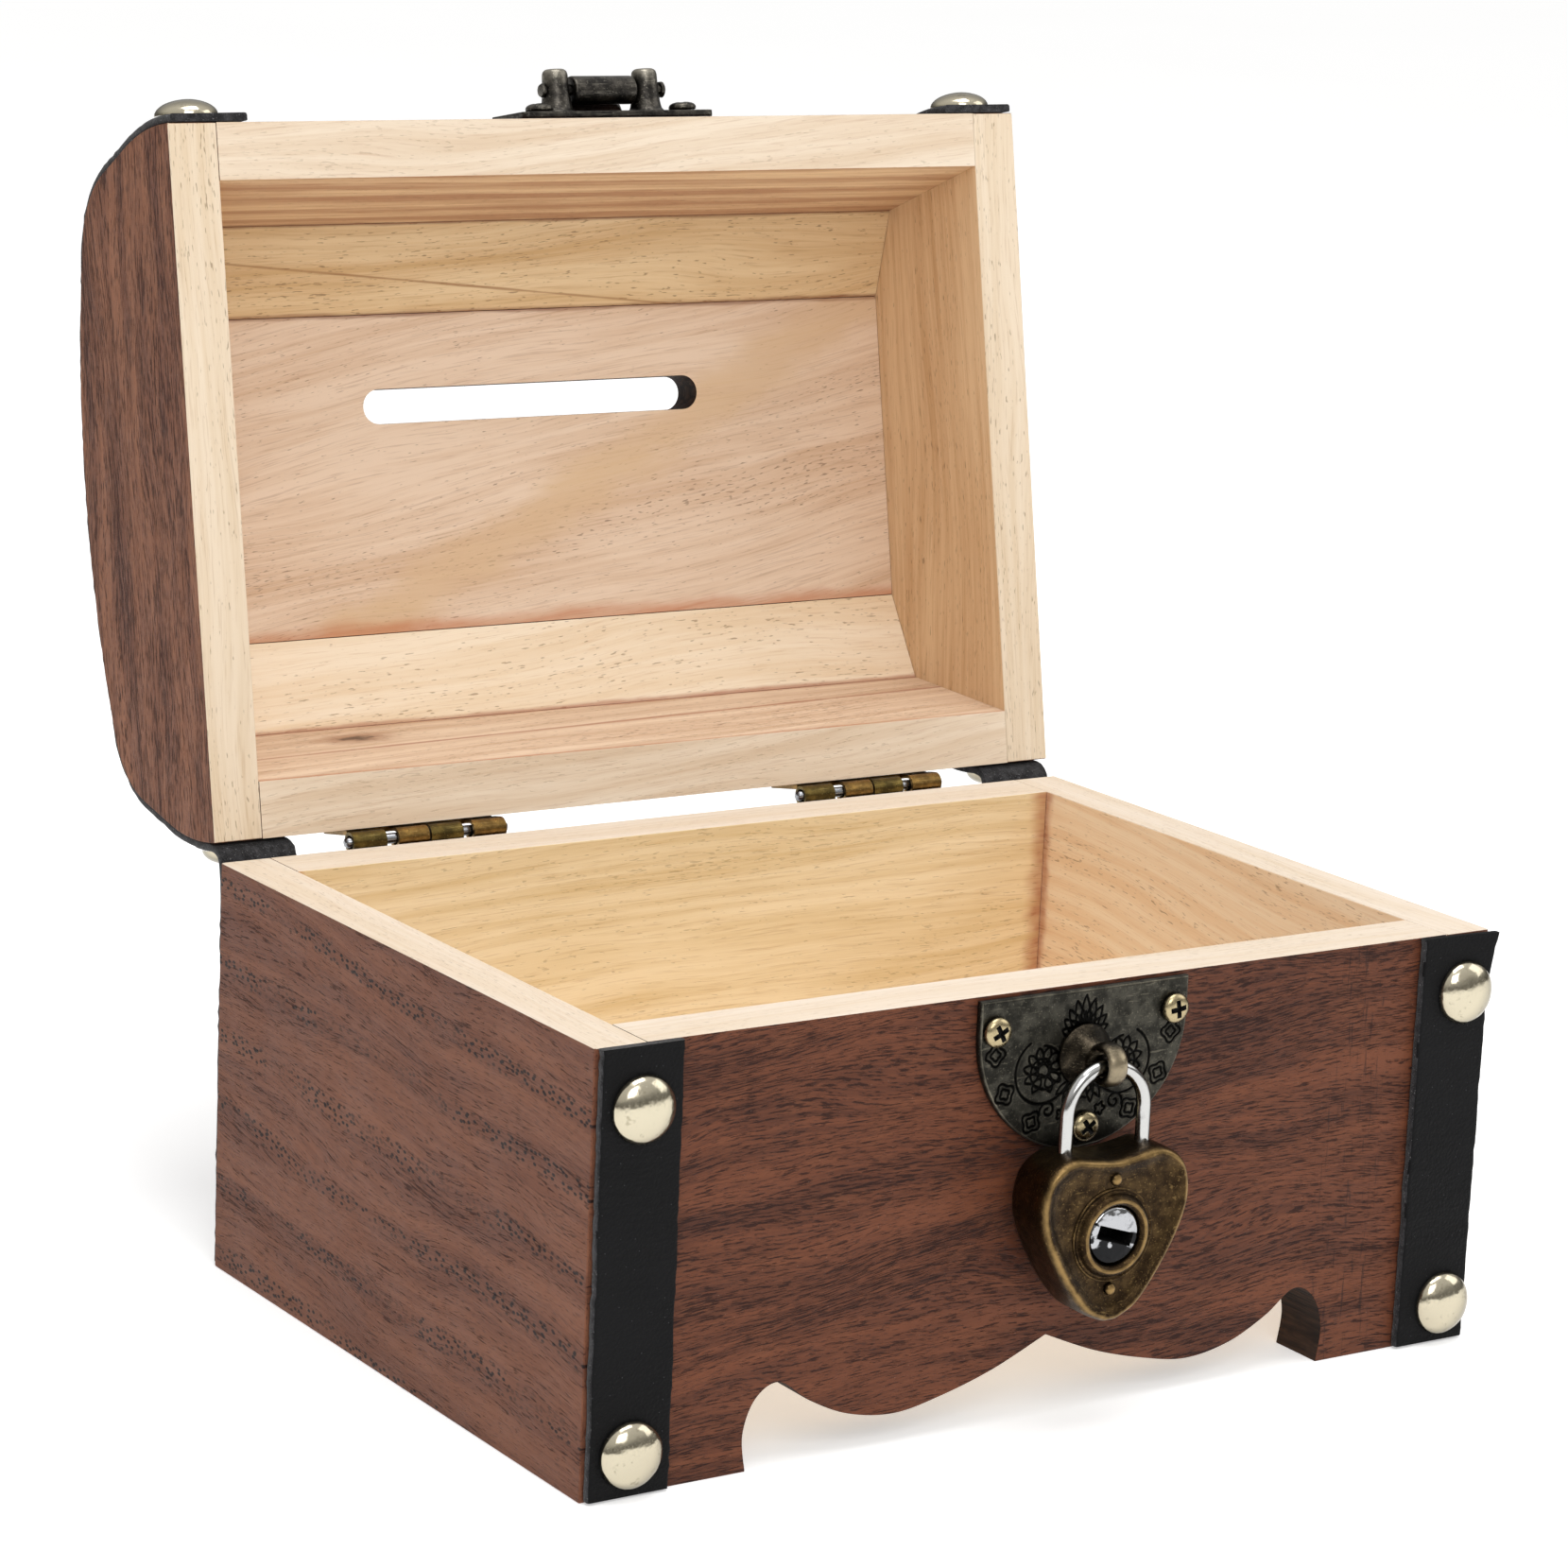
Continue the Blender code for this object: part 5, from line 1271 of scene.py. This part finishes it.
# Butt hinges
def build_hinges():
    # Lit and shaded copies of one brass: the base leaf's copy is painted darker, as shade, the lid leaf's lighter,
    # as light.
    dark = old_metal("hinge_brass_painted_shade", (74, 62, 34), (112, 94, 50), (178, 156, 96), 0.30, None, 1.3)
    light = old_metal("hinge_brass_painted_light", (104, 80, 44), (146, 114, 62), (196, 166, 108), 0.28, None, 1.3)
    steel = bright_metal("hinge_steel", (150, 152, 156), 0.24, 0.00003, (80, 80, 84), 0.4)
    length, thick, radius = 0.0268, 0.0008, 0.0016
    spans = ((0.0004, 0.0056), (0.0080, 0.0052), (0.0135, 0.0055), (0.0208, 0.0056))
    drop, inset = 0.0100, 0.0010
    inner = GAP - SETBACK
    for side, sign in (("left", -1), ("right", 1)):
        centre = sign * (WIDTH / 2 - 0.0350)
        # The base leaf takes the painted-shade copy, the lid leaf the painted-light copy.
        for kind, body, way, mine, metal, place in (
            ("base", "box", -1, spans[0::2], dark, Matrix.Translation((centre, HINGE.y, HINGE.z))),
            ("lid", "lid", 1, spans[1::2], light, LID @ Matrix.Translation((centre, 0, 0))),
        ):
            edge = length / 2 - inset
            shells = [rounded_plate((-edge, edge), (way * (radius + GAP), way * drop), inner, thick)]
            for begin, run in mine:
                start = -length / 2 + begin
                shells.append(rolled_knuckle(start, start + run, way, radius, thick))
            name = f"{side}_hinge_{kind}_plate"
            leaf = add(name, join(shells), (metal,), body, place, (f"{side}_hinge_{kind}_leaf",),
                       "antique_brass", 40)
            bevel(leaf, 0.00008, 2, 50)
            for number, along in ((1, -1), (2, 1)):
                spot = (along * 0.0075, inner + thick + GAP, way * 0.0062)
                head = [(0, -0.0006), (0.0006, -0.0006), (0.0006, 0), (0.0015, 0)] + dome(0.0016, 0.0008, 8)
                at = place @ Matrix.Translation(spot) @ TO_BACK
                node = f"{side}_hinge_{kind}_nail_{number}"
                # The nail heads on both leaves take the painted-light copy.
                add(node + "_head", turned(head, 32), (light,), body, at, (node,), "antique_brass", 60)
        half = length / 2
        profile = [(0, -half - 0.0004), (0.0006, -half - 0.0003), (0.0008, -half), (0.0008, half)]
        profile += [(0.0006, half + 0.0003), (0, half + 0.0004)]
        add(f"{side}_hinge_rod", turned(profile, 28, TO_SIDE), (steel,), "box",
            Matrix.Translation((centre, HINGE.y, HINGE.z)), (f"{side}_hinge_pin",), "grey_steel", 50)


def rounded_plate(x, z, inner, thick):
    """A hinge leaf's plate from its knuckles to its two rounded outer corners."""
    corner = 0.0009
    outer = abs(z[1]) - corner
    outline = arc(x[1] - corner, outer, corner, 0, 90, 5) + arc(x[0] + corner, outer, corner, 90, 90, 5)
    outline += [(x[0], abs(z[0])), (x[1], abs(z[0]))]
    way = 1 if z[1] > 0 else -1
    return prism([(a, b * way) for a, b in outline], "Y", (inner, inner + thick))


def rolled_knuckle(start, end, way, radius, thick):
    """A strip that rises from the leaf and rolls round the pin."""
    inside = radius - 0.72 * thick
    foot = -(radius + 2 * GAP)
    rolls = [[(r * math.sin(a), r * math.cos(a)) for a in (math.radians(-90 + 296 * k / 34) for k in range(35))]
             for r in (radius, inside)]
    section = [(-radius, foot)] + rolls[0] + rolls[1][::-1] + [(-inside, foot)]
    section = [(y, -z * way) for y, z in section]
    return prism(section, "X", (start, end))


# Padlock
def heart_path(steps):
    right = [(0.28, 0.468), (0.60, 0.486), (0.89, 0.400), (1.00, 0.230), (0.94, 0.040)]
    right += [(0.71, -0.195), (0.39, -0.420), (0.13, -0.502)]
    shares = [(0, 0.452)] + right + [(0, -0.514)] + [(-x, z) for x, z in reversed(right)]
    return smooth_curve([(x * 0.0125, z * 0.0240) for x, z in shares], steps, closed=True)


def build_padlock():
    brass = old_metal("padlock_brass", (44, 33, 22), (74, 58, 37), (160, 131, 84), 0.34, "worn", 1.4)
    # The shackle's nickel carries painted shade at its rims.
    nickel = bright_metal("shackle_nickel", (190, 190, 188), 0.11, 0.00003, (110, 108, 104), 0.3, 0.9)
    swing = Vector(joints["padlock_swing"]["pos_m"])
    path = heart_path(8)
    lobe_top = max(p.y for p in path)
    rise, span = 0.0113, 0.0130
    heart = Matrix.Translation((swing.x, swing.y, swing.z - rise - lobe_top))
    back, roll, sunk = 0.0040, 0.0020, 0.0009
    field = sunk - back
    profile = [(1.05 * roll, back), (0.50 * roll, back), (0.20 * roll, 0.94 * back), (0.04 * roll, 0.80 * back)]
    profile += [(0, 0.55 * back), (0, 0.0), (0, -0.50 * back), (0.06 * roll, -0.78 * back)]
    profile += [(0.22 * roll, -0.95 * back), (0.42 * roll, -1.0 * back), (0.62 * roll, -0.985 * back)]
    profile += [(0.82 * roll, -0.93 * back), (1.0 * roll, -0.875 * back)]
    fine = smooth_curve(profile, 4)
    rings = [[Vector((p.x, at.y, p.y)) for p in offset(path, -at.x, closed=True)] for at in fine]
    wear = []
    for at in fine:
        front = math.exp(-(((at.x / roll - 0.30) / 0.26) ** 2)) if at.y < -0.4 * back else 0.0
        wear += [0.40 + 0.40 * front] * len(path)
    inner = offset(path, -roll, closed=True)
    well = 0.0045
    for share, level in ((0.12, -0.0033), (0.28, -0.00317), (0.5, field), (0.8, field), (1.0, field), (1.0, 0.002)):
        rings.append([Vector((q.x, level, q.y)) for q in [p.lerp(p.normalized() * well, share) for p in inner]])
        wear += [0.40 - 0.06 * share] * len(path)
    shape = loft(rings)
    body = add("padlock_case", shape, (brass,), "padlock", heart, ("padlock_body",), "antique_brass", 60)
    set_attribute(body, "worn", wear)

    bore, lip = 0.00425, 0.0012
    face = Matrix.Translation((0, field, 0)) @ TO_FRONT
    collar = [(0.0067, -0.0004), (0.0067, 0.00006), (0.00662, 0.00020), (0.0065, 0.00024), (0.00636, 0.00018)]
    collar += [(0.0062, 0.00008), (0.00605, 0.00008), (0.00592, 0.00022), (0.0058, 0.00048), (0.00564, 0.00078)]
    collar += [(0.00544, 0.86 * lip), (0.0052, 0.97 * lip), (0.0050, lip), (0.00478, 0.97 * lip)]
    collar += [(0.00456, 0.86 * lip), (0.0044, 0.66 * lip), (bore, 0.4 * lip), (bore, -0.0004)]
    count = 96
    piece = add("padlock_collar", ringed(collar, count), (brass,), "padlock", heart @ face, (), "antique_brass", 50)
    rubbed = [0.78 if 0.0046 < r < 0.0053 and z > 0.9 * lip else (0.62 if r > 0.0064 else 0.36) for r, z in collar]
    set_attribute(piece, "worn", rubbed * count)

    top = Vector((0, -span / 2))
    bow = [top + Vector(spot) for spot in arc(0, 0, span / 2, 180, -180, 48)]
    long_end = Vector((-span / 2, -rise - 0.0120))
    short_end = Vector((span / 2, -rise - 0.0045))
    left = [long_end.lerp(bow[0], k / 6) for k in range(6)]
    right = [bow[-1].lerp(short_end, k / 4) for k in range(1, 5)]
    wire = swept(left + bow + right, 0.0010, 32)
    add("padlock_bow", wire, (nickel,), "shackle", Matrix.Translation(swing), ("padlock_shackle",),
        "bright_nickel", 60)

    for name, z in (("upper", 0.0079), ("lower", -0.0077)):
        head = [(0, -0.0005), (0.0007, -0.0005), (0.0007, 0), (0.0009, 0.00005)] + dome(0.0009, 0.00063, 8)
        at = heart @ Matrix.Translation((0, field - GAP, z)) @ TO_FRONT
        piece = add(f"padlock_{name}_rivet_head", turned(head, 28), (brass,), "padlock", at,
                    (f"padlock_{name}_rivet",), "antique_brass", 60)
        set_attribute(piece, "worn", [0.4 + 0.5 * max(0.0, v.co.z / 0.00063) for v in piece.data.vertices])

    proud = 0.7 * lip - 0.0002
    radius = 0.0041
    plug = [(0, -0.0056), (radius, -0.0056), (radius, -0.0003), (0.97 * radius, -0.0001), (0.90 * radius, 0.0)]
    plug += [(0.6 * radius, 0.00012), (0, 0.00016)]
    place = heart @ face @ Matrix.Translation((0, 0, proud)) @ Matrix.Rotation(math.radians(-18), 4, "Z")
    # The plug's nickel carries painted shade at its rims and a painted shadow along one side.
    plug_nickel_with_painted_shade = bright_metal("plug_nickel", (176, 177, 180), 0.10, 0.00030, (40, 40, 42), 0.5, 0.6,
                               (0.02, -0.07, 0))
    piece = add("padlock_key_plug", turned(plug, 64), (plug_nickel_with_painted_shade,), None, place, (), "bright_nickel", 50)
    # Painted shade for the inside of the keyway.
    black = pitch("keyway_painted_shade", 5.0)
    keyway = block((-0.0030, 0.0030), (-0.00095, 0.00095), (-0.0042, 0.0010))
    cut(piece, add("keyway_cutter", keyway, (black,), None, place))
    bevel(piece, 0.00012, 2, 50)
    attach(piece, "plug")
    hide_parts("padlock_plug")


build_base()
build_lid()
build_straps()
build_nails()
build_plate()
build_hasp()
build_hinges()
build_padlock()


# Studio
LAMPS = (
    ("key", (-0.35, -0.95, 0.80), 0.6, 4.4),
    ("fill", (0.95, -0.45, 0.65), 0.7, 2.2),
    ("top", (0.0, -0.15, 1.2), 0.7, 5.5),
)


def build_studio():
    floor = bpy.data.meshes.new("studio_floor")
    size = 4.0
    floor.from_pydata([(-size, -size, 0), (size, -size, 0), (size, size, 0), (-size, size, 0)], [], [(0, 1, 2, 3)])
    graph = Graph("studio_paper")
    graph.colour = graph.mix(graph.noise(graph.mm, (300, 300, 300)), (0.86, 0.86, 0.86), (0.83, 0.83, 0.83))
    graph.finish(0.8, specular=0.2)
    graph.shader.inputs["Emission Color"].default_value = (1, 1, 1, 1)
    graph.shader.inputs["Emission Strength"].default_value = 0.42
    floor.materials.append(graph.material)
    plane = bpy.data.objects.new("studio_floor", floor)
    bpy.context.scene.collection.objects.link(plane)

    world = bpy.data.worlds.new("studio")
    world.use_nodes = True
    bpy.context.scene.world = world
    tree = world.node_tree
    links = tree.links
    position = tree.nodes.new("ShaderNodeTexCoord")
    split = tree.nodes.new("ShaderNodeSeparateXYZ")
    links.new(position.outputs["Generated"], split.inputs[0])
    ramp = tree.nodes.new("ShaderNodeValToRGB")
    links.new(split.outputs["Z"], ramp.inputs["Fac"])
    stops = ramp.color_ramp.elements
    stops[0].position, stops[0].color = 0.0, (0.20, 0.19, 0.17, 1)
    stops[1].position, stops[1].color = 1.0, (1.0, 1.0, 1.0, 1)
    for at, level in ((0.16, 0.30), (0.42, 0.78)):
        stop = stops.new(at)
        stop.color = (level, level * 0.99, level * 0.97, 1)
    seen = tree.nodes.new("ShaderNodeLightPath")
    mix = tree.nodes.new("ShaderNodeMix")
    mix.data_type = "RGBA"
    links.new(seen.outputs["Is Camera Ray"], mix.inputs["Factor"])
    links.new(ramp.outputs["Color"], mix.inputs[6])
    mix.inputs[7].default_value = (1.3, 1.3, 1.3, 1)
    links.new(mix.outputs[2], tree.nodes["Background"].inputs["Color"])
    tree.nodes["Background"].inputs["Strength"].default_value = 0.80

    target = Vector((0, BASE.translation.y, 0.07))
    for name, spot, size, power in LAMPS:
        light = bpy.data.lights.new(name, "AREA")
        light.size = size
        light.energy = power
        lamp = bpy.data.objects.new(name, light)
        bpy.context.scene.collection.objects.link(lamp)
        lamp.location = spot
        lamp.rotation_euler = (target - Vector(spot)).to_track_quat("-Z", "Y").to_euler()


def build_camera():
    azimuth, elevation, roll = math.radians(33.44), math.radians(12.79), math.radians(2.5)
    forward = Vector((math.sin(azimuth) * math.cos(elevation), math.cos(azimuth) * math.cos(elevation),
                      -math.sin(elevation)))
    right = Vector((math.cos(azimuth), -math.sin(azimuth), 0))
    up = right.cross(forward)
    c, s = math.cos(roll), math.sin(roll)
    across = right * c + up * s
    upward = up * c - right * s
    camera = bpy.data.objects.new("camera", bpy.data.cameras.new("camera"))
    camera.data.lens = 109.04
    camera.data.sensor_width = 36.0
    camera.data.clip_start = 0.01
    rotation = Matrix((across, upward, -forward)).transposed().to_4x4()
    spot = Vector((-0.377, -0.5517 + BASE.translation.y, 0.2295))
    camera.matrix_world = Matrix.Translation(spot) @ rotation
    bpy.context.scene.collection.objects.link(camera)
    bpy.context.scene.camera = camera


build_studio()
build_camera()
bpy.context.scene.view_settings.view_transform = "Standard"

bpy.context.view_layer.update()
